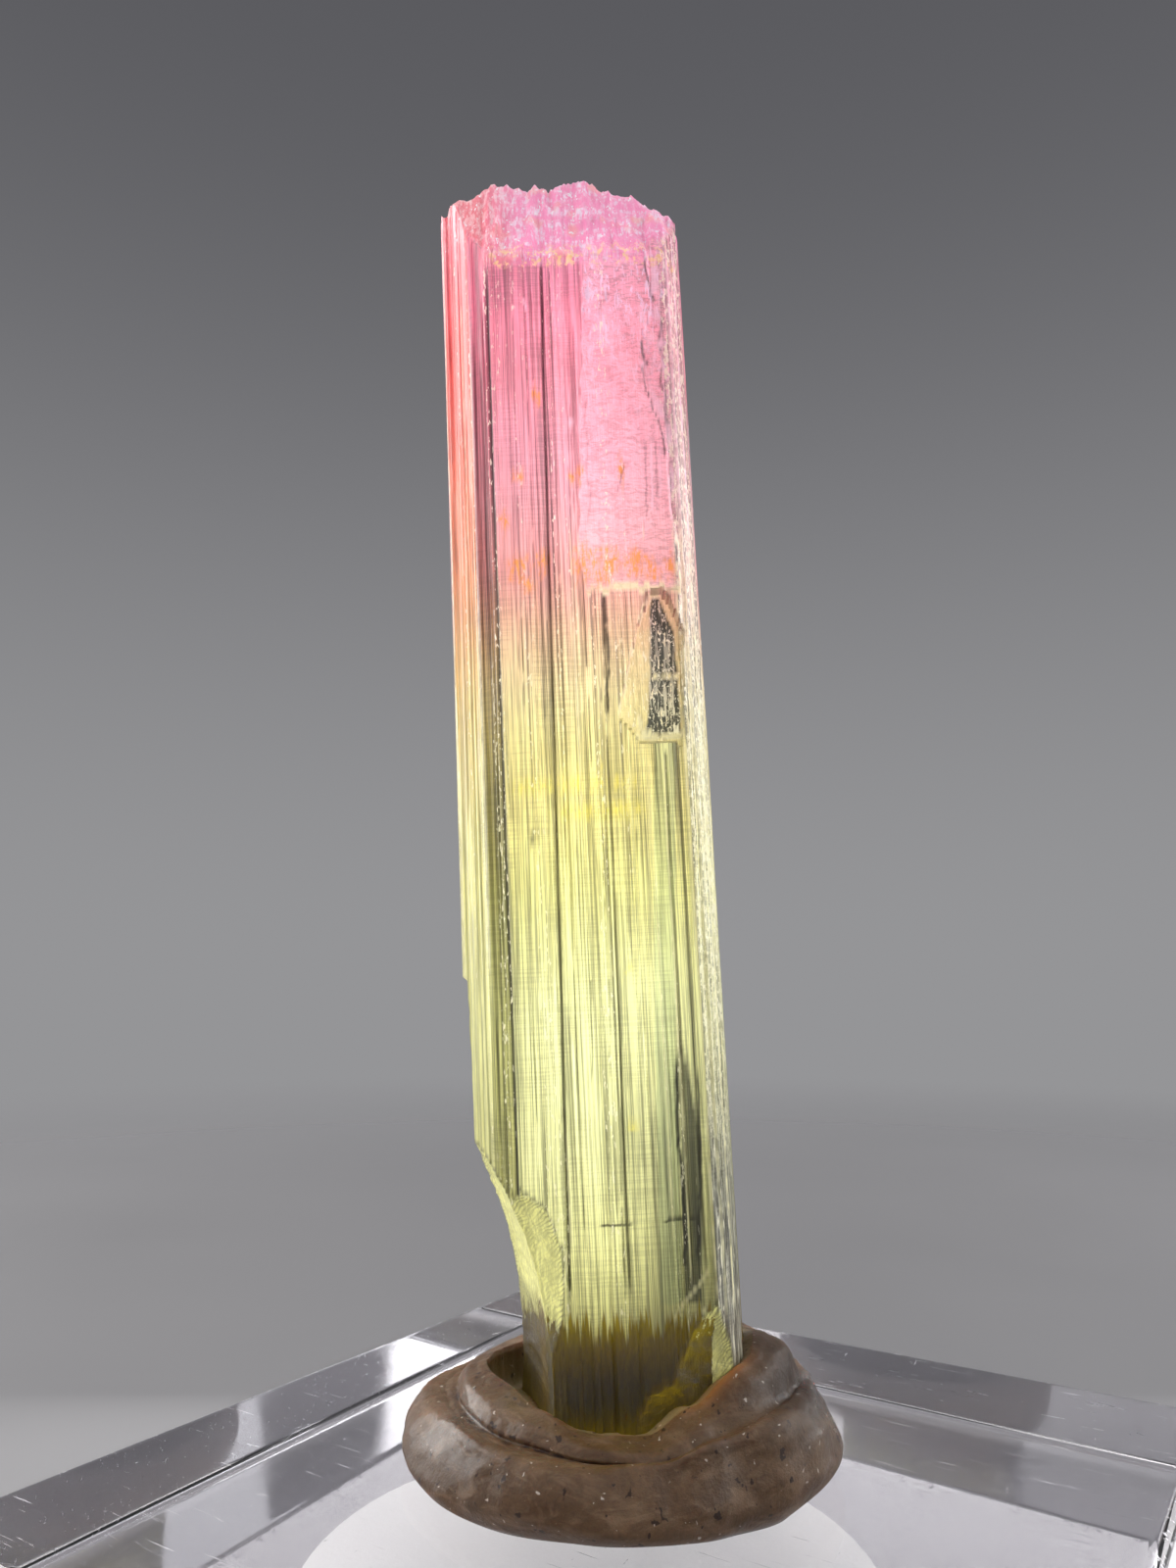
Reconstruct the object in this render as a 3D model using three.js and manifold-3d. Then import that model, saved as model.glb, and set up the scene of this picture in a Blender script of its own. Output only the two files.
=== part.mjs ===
// Two-coloured tourmaline crystal, upright in a pressed lump of putty on a clear square base,
// with a round paper label under the base. Millimetres, +Z up. The origin is at the middle of
// the base, level with the underside of the label.

import * as THREE from 'three';
import { mergeVertices } from 'three/addons/utils/BufferGeometryUtils.js';
import Module from 'manifold-3d';

// Base and label
const BASE_SIDE = 25.4;
const BASE_THICK = 6.35;
const BASE_BEVEL = 0.3;
const LABEL_RADIUS = 7.6;
const LABEL_THICK = 0.2;
const LABEL_CENTRE = [-0.22, -1.98];

// The wide front face of the crystal looks towards one corner of the base, turned by this
// much about the vertical. Places on the base top are given as right and away of that view.
const FACING_DEG = 33.35;
const PUTTY_CENTRE = [-0.45, 0.45];
const STONE_CENTRE = [-0.6, 0.2];
const STONE_LEAN_LEFT_DEG = 2.55;
const STONE_LEAN_FRONT_DEG = 1.03;

// Crystal, in its own frame: u to the right along the front face, v away from it, w up its
// length. Its frame starts just above the base top.
const STONE_START = 0.2;
const STONE_FOOT = 0.8;
const STONE_BLANK_TOP = 38;
const FRONT = -2.95;
const SECTION_CORNERS = [
  [-2.16, FRONT], [2.87, FRONT], [3.42, -2.2], [3.7, -0.9], [3.72, 0.1], [3.2, 1.3],
  [0.9, 3.4], [-1.0, 3.3], [-3.25, 1.3], [-3.8, 0.2], [-3.7, -0.7], [-2.83, -2.35],
];
const LATH_WIDTH = [0.16, 0.46];
const LATH_INSET = 0.07;
const LATH_RISER = 0.025;
const GROOVE_MARGIN = 0.1;

// Long grooves in the front face: place across it, half width, depth
const FRONT_GROOVES = [
  [-1.64, 0.05, 0.1],
  [-0.7, 0.07, 0.2],
  [0.68, 0.08, 0.2],
  [2.06, 0.05, 0.1],
];

// Shallow break of the upper right of the front face: outline in u and w, floor and roughness
const UPPER_BREAK = [
  [0.12, 24.58], [0.29, 23.47], [0.9, 23.55], [1.47, 23.62], [1.85, 23.5], [3.3, 23.6],
  [3.3, 37.5], [0.9, 37.5], [0.5, 31], [0.3, 27],
];
const UPPER_BREAK_FLOOR = -2.8;
const ROUGH_CELL = [0.36, 0.72];
const ROUGH_RELIEF = 0.1;

// Hollow under it, at the right edge of the face, going deeper to the right
const EDGE_HOLLOW = [
  [1.08, 19.94], [1.63, 19.18], [2.75, 19.13], [2.95, 22.34], [2.52, 23.34], [2.12, 23.55],
  [1.37, 22.13],
];
const EDGE_HOLLOW_FLOOR = -2.7;
const EDGE_HOLLOW_TURN_DEG = 8;

// Left edge below the end of a thin sliver: how far out the crystal reaches, and the end
const SLIVER_END = 13;
const BELOW_SLIVER_LEFT = -3.4;

// Shell-like breaks at the foot, left then right: centre, half sizes, and the turn about the
// length and the tilt across the face in degrees
const SHELL_BREAKS = [
  [[-5.5, -2.0, 2.6], [3.9, 9.0, 7.2], 10, 0],
  [[-3.1, -4.6, 5.4], [2.9, 2.4, 3.3], 0, 12],
  [[3.3, -3.9, 2.6], [2.3, 1.45, 3.2], 0, 20],
  [[1.7, -3.7, 1.6], [1.6, 1.1, 1.7], 0, 30],
];

// Small chips up the right edge of the front face
const EDGE_CHIPS = 8;
const EDGE_CHIP_SPAN = [26.5, 35];
const EDGE_CHIP_SIZE = [0.25, 0.5];

// Termination: the skyline from left to right, the steep front slope and the gentler back
const SKYLINE = [
  [-3.9, 36.6], [-3.57, 36.2], [-2.86, 36.4], [-1.85, 36.91], [-1.4, 36.68], [0.1, 36.7],
  [0.8, 36.82], [1.4, 36.53], [2.2, 36.26], [2.9, 35.9], [3.3, 35.6], [3.9, 34.9],
];
const SKYLINE_AWAY = -1.6;
const FRONT_SLOPE_FOOT = 33.5;
const TOP_RISE = 0.18;
const BACK_SLOPE_START = 0.6;
const BACK_SLOPE = 0.85;
const FIBRE_STEP = 0.3;
const FIBRE_RELIEF = 0.22;
const TOP_CUTTER = [8.4, 7.2, 6];

// Putty: angle round its centre from the right, radius of its foot, reach of the lip round the
// crystal, and the heights over the base of its outer shoulder and of the lip
const PUTTY_STATIONS = [
  [-180, 5.8, 3.6, 1.65, 2.5],
  [-150, 5.55, 3.6, 1.75, 2.45],
  [-125, 5.5, 3.75, 1.7, 2.2],
  [-100, 5.4, 3.85, 1.6, 1.9],
  [-80, 5.28, 3.9, 1.65, 1.85],
  [-62, 5.4, 4.1, 2.1, 2.45],
  [-42, 5.8, 4.3, 2.4, 2.95],
  [-20, 5.85, 4.2, 2.35, 2.95],
  [15, 5.75, 4.1, 2.05, 2.7],
  [60, 5.6, 4.0, 1.9, 2.4],
  [100, 5.6, 3.9, 1.75, 2.25],
  [140, 5.65, 3.7, 1.6, 2.3],
];

// Section of the putty from its underside up and in to its middle: shares of the foot radius
// and of the lip's reach, then shares of the shoulder height and of the lip height
const PUTTY_SECTION = [
  [0, 0, 0, 0], [0.94, 0, 0, 0], [0.99, 0, 0.1, 0], [1.02, 0, 0.32, 0], [1, 0, 0.58, 0],
  [0.9, 0.08, 0.83, 0], [0.78, 0.2, 0.97, 0], [0.55, 0.44, 0.98, 0], [0.24, 0.82, 0.5, 0.4],
  [0.14, 0.9, 0.1, 0.84], [0, 1, 0, 1], [0, 0.9, 0, 1], [0, 0.75, 0, 0.93], [0, 0.5, 0, 0.85],
  [0, 0, 0, 0.8],
];
const PUTTY_SIDES = 72;
const PUTTY_WAVE = 0.02;

// Pocket in the putty: the outline of the broken foot of the crystal, and the gap round it
const POCKET_CORNERS = [
  [-2.3, FRONT], [2.87, FRONT], [3.42, -2.2], [3.7, -0.9], [3.72, 0.1], [3.2, 1.3], [0.9, 3.4],
  [-1.0, 3.3], [-2.8, 1.6], [-3.05, 0], [-2.85, -1.9],
];
const POCKET_GAP = 0.32;
const POCKET_TOP = 8;

const BASE_TOP = LABEL_THICK + BASE_THICK;
const CUTTER_DEPTH = 2;
const toRadians = THREE.MathUtils.degToRad;
const blend = THREE.MathUtils.lerp;

const wasm = await Module();
wasm.setup();

// Repeatable scatter from 0 to 1 for a pair of whole numbers
function scatter(i, j) {
  const wave = Math.sin(i * 127.1 + j * 311.7 + 5.3) * 43758.5453;
  return wave - Math.floor(wave);
}

// Height of a line of [place, height] points at a place, held level past its ends
function heightAlong(points, place) {
  const next = points.findIndex((point) => point[0] > place);
  if (next === 0) return points[0][1];
  if (next < 0) return points[points.length - 1][1];
  const [from, to] = [points[next - 1], points[next]];
  return blend(from[1], to[1], (place - from[0]) / (to[0] - from[0]));
}

// A closed three.js geometry as a solid that can be joined and cut
function solidOf(geometry) {
  geometry.deleteAttribute('normal');
  geometry.deleteAttribute('uv');
  const merged = mergeVertices(geometry, 1e-4);
  const corners = [];
  for (let i = 0; i < merged.index.count; i += 3) {
    const [a, b, c] = merged.index.array.slice(i, i + 3);
    if (a !== b && b !== c && c !== a) corners.push(a, b, c);
  }
  return new wasm.Manifold(new wasm.Mesh({
    numProp: 3,
    vertProperties: merged.attributes.position.array,
    triVerts: new Uint32Array(corners),
  }));
}

function namedMesh(name, solid, material) {
  const { vertProperties, triVerts } = solid.getMesh();
  const geometry = new THREE.BufferGeometry();
  geometry.setAttribute('position', new THREE.BufferAttribute(vertProperties, 3));
  geometry.setIndex(new THREE.BufferAttribute(triVerts, 1));
  geometry.computeVertexNormals();
  const mesh = new THREE.Mesh(geometry, material);
  mesh.name = name;
  return mesh;
}

function outlineShape(points) {
  return new THREE.Shape(points.map(([x, y]) => new THREE.Vector2(x, y)));
}

// Upright prism of an outline in u and v, from one height to another
function uprightPrism(points, bottom, top) {
  const geometry = new THREE.ExtrudeGeometry(outlineShape(points), {
    depth: top - bottom,
    bevelEnabled: false,
  });
  geometry.translate(0, 0, bottom);
  return geometry;
}

// Plate of an outline in u and w, reaching from its floor out past the front face. The floor
// turns about its left edge, so that it goes deeper to the right.
function frontPlate(points, floor, turnDeg) {
  const left = Math.min(...points.map((point) => point[0]));
  const geometry = new THREE.ExtrudeGeometry(outlineShape(points), {
    depth: CUTTER_DEPTH,
    bevelEnabled: false,
  });
  geometry.rotateX(Math.PI / 2);
  geometry.translate(-left, 0, 0);
  geometry.rotateZ(toRadians(turnDeg));
  geometry.translate(left, floor, 0);
  return geometry;
}

// Block in front of the crystal, over an outline in u and w, whose far side is a rough sheet
function roughFront(points, floor) {
  const [left, bottom] = [0, 1].map((i) => Math.min(...points.map((point) => point[i])));
  const [right, top] = [0, 1].map((i) => Math.max(...points.map((point) => point[i])));
  const [wide, tall] = [right - left, top - bottom];
  const geometry = new THREE.BoxGeometry(
    wide, CUTTER_DEPTH, tall,
    Math.round(wide / ROUGH_CELL[0]), 1, Math.round(tall / ROUGH_CELL[1]),
  );
  geometry.translate((left + right) / 2, floor - CUTTER_DEPTH / 2, (bottom + top) / 2);
  const spots = geometry.attributes.position;
  for (let i = 0; i < spots.count; i += 1) {
    if (spots.getY(i) > floor - CUTTER_DEPTH / 2) {
      const column = Math.round(spots.getX(i) / ROUGH_CELL[0]);
      const row = Math.round(spots.getZ(i) / ROUGH_CELL[1]);
      spots.setY(i, floor + ROUGH_RELIEF * (scatter(column + 90, row) - 0.5));
    }
  }
  return geometry;
}

// Rounded cutter of a shell-like break
function shellBreak(centre, halfSizes, turnDeg, tiltDeg) {
  const geometry = new THREE.SphereGeometry(1, 28, 18);
  geometry.scale(...halfSizes);
  geometry.rotateY(toRadians(tiltDeg));
  geometry.rotateZ(toRadians(turnDeg));
  geometry.translate(...centre);
  return geometry;
}

// Places where the long grooves cross a lath of the front face, as across, down, across
function grooveNotches(face, start, end, inset) {
  const left = SECTION_CORNERS[0][0];
  const inLath = ([u]) => u - left > start + GROOVE_MARGIN && u - left < end - GROOVE_MARGIN;
  return (face === 0 ? FRONT_GROOVES.filter(inLath) : []).flatMap(([u, halfWidth, depth]) => [
    [u - left - halfWidth, inset],
    [u - left, inset + depth],
    [u - left + halfWidth, inset],
  ]);
}

// Section of the crystal: each flat is a row of narrow laths at slightly different depths
function ribbedSection() {
  return SECTION_CORNERS.flatMap((corner, face) => {
    const from = new THREE.Vector2(...corner);
    const to = new THREE.Vector2(...SECTION_CORNERS[(face + 1) % SECTION_CORNERS.length]);
    const length = from.distanceTo(to);
    const along = to.sub(from).normalize();
    const inward = new THREE.Vector2(-along.y, along.x);
    const marks = [];
    for (let start = 0, lath = 0; start < length; lath += 1) {
      const width = blend(...LATH_WIDTH, scatter(face, lath));
      const end = length - start - width < LATH_WIDTH[0] ? length : start + width;
      const inset = LATH_INSET * scatter(face + 40, lath);
      marks.push([start + LATH_RISER, inset]);
      marks.push(...grooveNotches(face, start, end, inset));
      marks.push([end - LATH_RISER, inset]);
      start = end;
    }
    return marks.map(([distance, inset]) => (
      from.clone().addScaledVector(along, distance).addScaledVector(inward, inset).toArray()
    ));
  });
}

// Height of the broken, fibrous top over a place in the section
function topHeight(u, v) {
  const skyline = heightAlong(SKYLINE, u);
  const [i, j] = [Math.round(u / FIBRE_STEP), Math.round(v / FIBRE_STEP)];
  const fibre = FIBRE_RELIEF * (scatter(i, j) - 0.5);
  const ahead = (v - FRONT) / (SKYLINE_AWAY - FRONT);
  const front = blend(FRONT_SLOPE_FOOT, skyline, ahead);
  const level = skyline + TOP_RISE * (v - SKYLINE_AWAY);
  const back = level - BACK_SLOPE * Math.max(0, v - BACK_SLOPE_START);
  return Math.min(front, back) + fibre;
}

// Block whose rough underside is the termination
function topCutter() {
  const [wide, deep, tall] = TOP_CUTTER;
  const geometry = new THREE.BoxGeometry(
    wide, deep, tall, Math.round(wide / FIBRE_STEP), Math.round(deep / FIBRE_STEP), 1,
  );
  const spots = geometry.attributes.position;
  for (let i = 0; i < spots.count; i += 1) {
    const under = spots.getZ(i) < 0;
    spots.setZ(i, under ? topHeight(spots.getX(i), spots.getY(i)) : STONE_BLANK_TOP + tall);
  }
  return geometry;
}

// Block outside the left edge of the crystal, up to the end of the thin sliver
function leftRecess() {
  const geometry = new THREE.BoxGeometry(1, 4, SLIVER_END);
  geometry.rotateY(toRadians(-1));
  geometry.translate(BELOW_SLIVER_LEFT - 0.5, 0, SLIVER_END / 2);
  return geometry;
}

function edgeChip(i) {
  const height = blend(...EDGE_CHIP_SPAN, (i + 0.5 * scatter(i, 3)) / EDGE_CHIPS);
  const size = blend(...EDGE_CHIP_SIZE, scatter(i, 7));
  return shellBreak([3.0, FRONT, height], [size, 0.5 * size, 1.6 * size], 0, 0);
}

// Breaks and chips of the crystal, each as a cutter in its frame
function stoneBreaks() {
  const upperOutline = solidOf(frontPlate(UPPER_BREAK, UPPER_BREAK_FLOOR + 0.5, 0));
  const upperSheet = solidOf(roughFront(UPPER_BREAK, UPPER_BREAK_FLOOR));
  const cutters = [
    frontPlate(EDGE_HOLLOW, EDGE_HOLLOW_FLOOR, EDGE_HOLLOW_TURN_DEG),
    leftRecess(),
    ...SHELL_BREAKS.map((sizes) => shellBreak(...sizes)),
  ];
  for (let i = 0; i < EDGE_CHIPS; i += 1) cutters.push(edgeChip(i));
  return [upperOutline.intersect(upperSheet), ...cutters.map(solidOf)];
}

function makeStone(material) {
  const blank = solidOf(uprightPrism(ribbedSection(), STONE_FOOT, STONE_BLANK_TOP));
  const cutters = [solidOf(topCutter()), ...stoneBreaks()];
  const solid = cutters.reduce((left, cutter) => left.subtract(cutter), blank);
  return namedMesh('crystal', solid, material);
}

function stonePlace() {
  const place = new THREE.Group();
  place.position.set(...STONE_CENTRE, BASE_TOP + STONE_START);
  place.rotation.set(toRadians(STONE_LEAN_FRONT_DEG), toRadians(-STONE_LEAN_LEFT_DEG), 0, 'ZYX');
  place.updateMatrix();
  return place;
}

// The four sizes of the putty at an angle, eased from station to station
function puttyAt(angleDeg) {
  const ring = [...PUTTY_STATIONS, [180, ...PUTTY_STATIONS[0].slice(1)]];
  const next = Math.max(1, ring.findIndex((station) => station[0] > angleDeg));
  const [from, to] = [ring[next - 1], ring[next]];
  const step = THREE.MathUtils.smoothstep(angleDeg, from[0], to[0]);
  return [1, 2, 3, 4].map((i) => blend(from[i], to[i], step));
}

// Lump of putty pressed round the foot of the crystal, with the pocket that the foot left
function makePutty(material, stoneMatrix) {
  const profile = PUTTY_SECTION.map(([foot, lip], row) => new THREE.Vector2(foot + lip, row));
  const geometry = new THREE.LatheGeometry(profile, PUTTY_SIDES);
  geometry.rotateX(Math.PI / 2);
  const spots = geometry.attributes.position;
  for (let i = 0; i < spots.count; i += 1) {
    const spot = new THREE.Vector3().fromBufferAttribute(spots, i);
    const row = PUTTY_SECTION[Math.round(spot.z)];
    const angle = Math.atan2(spot.y, spot.x);
    const angleDeg = THREE.MathUtils.radToDeg(angle);
    const [foot, reach, shoulder, lip] = puttyAt(angleDeg > 179.99 ? -180 : angleDeg);
    const wave = 1 + PUTTY_WAVE * Math.sin(5 * angle + spot.z);
    const radius = (foot * row[0] + reach * row[1]) * wave;
    const height = shoulder * row[2] + lip * row[3];
    spots.setXYZ(i, radius * Math.cos(angle), radius * Math.sin(angle), height);
  }
  const corners = POCKET_CORNERS.map(([u, v]) => {
    const reach = Math.hypot(u, v);
    return [u * (1 + POCKET_GAP / reach), v * (1 + POCKET_GAP / reach)];
  });
  const pocket = uprightPrism(corners, STONE_FOOT - POCKET_GAP, POCKET_TOP);
  pocket.applyMatrix4(stoneMatrix);
  pocket.translate(-PUTTY_CENTRE[0], -PUTTY_CENTRE[1], -BASE_TOP);
  const lump = namedMesh('putty', solidOf(geometry).subtract(solidOf(pocket)), material);
  lump.position.set(...PUTTY_CENTRE, BASE_TOP);
  return lump;
}

// Clear block with slightly eased edges
function makeBase(material) {
  const half = BASE_SIDE / 2 - BASE_BEVEL;
  const square = [[-half, -half], [half, -half], [half, half], [-half, half]];
  const geometry = new THREE.ExtrudeGeometry(outlineShape(square), {
    depth: BASE_THICK - 2 * BASE_BEVEL,
    bevelThickness: BASE_BEVEL,
    bevelSize: BASE_BEVEL,
    bevelSegments: 2,
  });
  geometry.translate(0, 0, BASE_BEVEL);
  const block = namedMesh('base', solidOf(geometry), material);
  block.position.z = LABEL_THICK;
  return block;
}

function makeLabel(material) {
  const geometry = new THREE.CylinderGeometry(LABEL_RADIUS, LABEL_RADIUS, LABEL_THICK, 64);
  geometry.rotateX(Math.PI / 2);
  const disc = namedMesh('label', solidOf(geometry), material);
  disc.position.set(...LABEL_CENTRE, LABEL_THICK / 2);
  return disc;
}

const stoneMaterial = new THREE.MeshStandardMaterial({
  color: 0xc9b06c, roughness: 0.15, metalness: 0, transparent: true, opacity: 0.7,
});
const puttyMaterial = new THREE.MeshStandardMaterial({
  color: 0x8c7d74, roughness: 0.5, metalness: 0,
});
const baseMaterial = new THREE.MeshStandardMaterial({
  color: 0xd8d6dc, roughness: 0.05, metalness: 0, transparent: true, opacity: 0.3,
});
const labelMaterial = new THREE.MeshStandardMaterial({
  color: 0xefedea, roughness: 0.8, metalness: 0,
});

const held = stonePlace();
const onBase = new THREE.Group();
onBase.rotation.z = toRadians(FACING_DEG);
onBase.add(makePutty(puttyMaterial, held.matrix), held);
held.add(makeStone(stoneMaterial));

const tourmaline = new THREE.Group();
tourmaline.add(makeLabel(labelMaterial), makeBase(baseMaterial), onBase);

export default tourmaline;
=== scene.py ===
"""Looks of a two-coloured tourmaline, upright in putty on a clear base with a round label under it.

Sizes are in millimetres until a mesh is made, which is in metres. The crystal has a frame of its
own: u to the right along its wide front face, v away from it and w up its length.
"""
import math

import bmesh
import bpy
import numpy as np
from mathutils import Euler, Matrix, Vector


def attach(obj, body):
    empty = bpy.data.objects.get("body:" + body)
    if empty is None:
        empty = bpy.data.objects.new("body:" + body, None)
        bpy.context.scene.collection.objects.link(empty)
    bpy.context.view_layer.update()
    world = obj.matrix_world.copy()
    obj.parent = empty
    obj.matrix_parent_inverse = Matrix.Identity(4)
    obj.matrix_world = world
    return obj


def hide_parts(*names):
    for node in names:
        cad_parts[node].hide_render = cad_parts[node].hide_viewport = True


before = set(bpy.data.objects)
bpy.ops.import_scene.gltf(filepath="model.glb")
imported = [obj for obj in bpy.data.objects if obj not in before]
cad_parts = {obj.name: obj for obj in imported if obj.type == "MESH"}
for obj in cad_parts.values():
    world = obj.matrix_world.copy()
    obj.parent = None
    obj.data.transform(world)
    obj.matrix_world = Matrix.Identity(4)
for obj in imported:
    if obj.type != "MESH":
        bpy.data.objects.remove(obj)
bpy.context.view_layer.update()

MM = 0.001

# Places and turns of the crystal and the putty on the base
BASE_TOP = 6.55
LABEL_THICK = 0.2
BASE_HALF = 12.7
BASE_BEVEL = 0.3
BEVEL_STEPS = 6
GLUE_DEPTH = 0.015
FACING_DEG = 33.35
STONE_CENTRE = (-0.6, 0.2)
STONE_START = 0.2
STONE_LEAN_LEFT_DEG = 2.55
STONE_LEAN_FRONT_DEG = 1.03
PUTTY_CENTRE = (-0.45, 0.45)

# Section of the crystal, with its narrow laths
FRONT = -2.95
SECTION_CORNERS = [
    (-2.16, FRONT), (2.87, FRONT), (3.42, -2.2), (3.7, -0.9), (3.72, 0.1), (3.2, 1.3), (0.9, 3.4),
    (-1, 3.3), (-3.25, 1.3), (-3.8, 0.2), (-3.7, -0.7), (-2.83, -2.35),
]
LATH_WIDTH = (0.16, 0.46)
LATH_INSET = 0.07
LATH_RISER = 0.025
FRONT_FACE, RIGHT_FACES, LEFT_FLAT, LEFT_EDGE = 0, (1, 2), 10, 11
FINE_STEP = {0: 0.036, 1: 0.05, 2: 0.05, 10: 0.05, 11: 0.045}
COARSE_STEP = 0.105
RIGHT_FADE = (-1.5, -0.85)
AHEAD = -2.2
STONE_FOOT = 0.8
STONE_AXIS = (0.9, 0.3)

# Heights of the rings of points, closest round the cracks, the sliver's end and the breaks. The
# last rings ease from the level RIM_START up to the uneven rim.
RING_LEVELS = np.concatenate([
    np.arange(STONE_FOOT, 6.5, 0.13), [6.56, 6.6, 6.63, 6.66, 6.7], np.arange(6.82, 9, 0.13),
    np.arange(9, 12.8, 0.38), [12.9, 13.02, 13.1], np.arange(13.4, 18.9, 0.36),
    np.arange(19, 24.8, 0.13), np.arange(24.9, 32, 0.2),
])
RIM_START = 32.1
RIM_RINGS = 16

# Lines down the front face: place at height 33.5 and at height 6.5, top, bottom, half width,
# depth, darkness and how much of it is missing
LINES = [
    (-0.59, -0.92, 33.6, 4.6, 0.06, 0.15, 1, 0),
    (-0.7, -1, 31, 5, 0.03, 0.05, 0.45, 0.3),
    (0.8, 0.66, 23.5, 19.6, 0.085, 0.1, 0.8, 0.3),
    (0.78, 0.62, 19.6, 4.8, 0.045, 0.12, 0.95, 0.05),
    (0.66, 0.5, 21, 4.8, 0.03, 0.06, 0.8, 0.15),
    (-1.46, -1.62, 33, 9, 0.03, 0.05, 0.6, 0.3),
    (-0.9, -1.1, 33, 14, 0.03, 0.05, 0.55, 0.2),
    (-0.36, -0.52, 33.3, 6, 0.035, 0.05, 0.65, 0.15),
    (-0.02, -0.1, 33.2, 12, 0.025, 0.04, 0.55, 0.3),
    (0.09, 0.02, 33, 17, 0.025, 0.04, 0.5, 0.4),
    (0.26, 0.2, 32, 6.5, 0.03, 0.05, 0.5, 0.3),
    (0.5, 0.36, 30.5, 6.5, 0.03, 0.04, 0.45, 0.35),
    (1.3, 1.1, 22, 5.5, 0.03, 0.05, 0.45, 0.3),
    (2.3, 2.2, 19, 4.8, 0.05, 0.1, 0.75, 0.1),
    (2.62, 2.55, 19, 5, 0.04, 0.06, 0.55, 0.2),
]
LINE_LEVELS = (6.5, 27)
SPARE_LINES = 260
SPARE_LINES_ROUND = 22.6

# Pale lines: distance round from the front's left edge, top, bottom, half width, strength
PALE_LINES = [
    (-0.06, 33, 4.5, 0.03, 0.5), (-0.86, 33, 13, 0.035, 0.9), (-1.02, 30, 20, 0.025, 0.6),
    (-2.7, 36, 8, 0.06, 0.9), (-1.45, 33, 25, 0.03, 0.6), (2.08, 33, 17, 0.03, 0.5),
    (1.31, 9.3, 6, 0.03, 0.9), (3.94, 19, 6, 0.03, 0.5), (4.35, 18.8, 5, 0.025, 0.6),
    (4.98, 36, 4.5, 0.05, 0.8), (5.45, 36, 4, 0.05, 0.7), (5.9, 36, 4, 0.06, 0.9),
    (6.6, 30, 4, 0.05, 0.5),
]

# Dark lines on the other faces: distance round from the front's left edge, top, bottom, half
# width, darkness
SIDE_LINES = [
    (-0.09, 34, 4, 0.075, 1), (-0.3, 33, 9, 0.035, 0.8), (-0.47, 31, 5.5, 0.05, 0.75),
    (-0.68, 32, 8, 0.03, 0.7), (-0.93, 29, 12, 0.03, 0.6), (-1.25, 30, 6, 0.03, 0.6),
    (-1.62, 26, 9, 0.04, 0.5), (-2.1, 31, 14, 0.03, 0.5), (-2.45, 28, 8, 0.03, 0.5),
    (4.72, 23, 4.6, 0.05, 0.8), (5.12, 34, 4, 0.05, 0.8), (5.32, 22, 6, 0.03, 0.7),
    (5.62, 30, 5, 0.04, 0.7), (6.12, 33, 4, 0.05, 0.8), (6.6, 26, 6, 0.04, 0.6),
]

# Strips at the right of the front face, as heights with their left and right edges
GREEN_STRIP = [(4.6, 1.38, 1.93), (11.5, 1.57, 2.14), (19.2, 1.97, 2.56)]
OLIVE_STRIP = [(4.6, 1.98, 2.42), (8.7, 2.12, 2.62), (10.2, 2.16, 2.42), (11.4, 2.2, 2.24)]
GREY_PATCH = [
    (19.35, 1.72, 2.74), (20.3, 1.88, 2.76), (21.2, 1.96, 2.74), (22.4, 2.02, 2.7),
    (23.1, 2.08, 2.46), (23.55, 2.18, 2.26),
]
WHITE_SPOTS = [
    (1.8, 19.42, 0.3, 0.13), (2.45, 19.36, 0.3, 0.07), (1.62, 19.75, 0.08, 0.2),
    (2.35, 21.05, 0.5, 0.05),
]
FLAKE_EDGE = [
    (23.6, 2.95), (27.5, 2.73), (28, 2.68), (28.5, 2.59), (28.9, 2.45), (29.5, 2.29), (30.2, 2.23),
    (31, 2.22), (31.8, 2.6), (32.8, 2.52), (33.9, 2.43),
]
FLAKE_DEPTH = 0.12
STRIP_SOFT = 0.03

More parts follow.
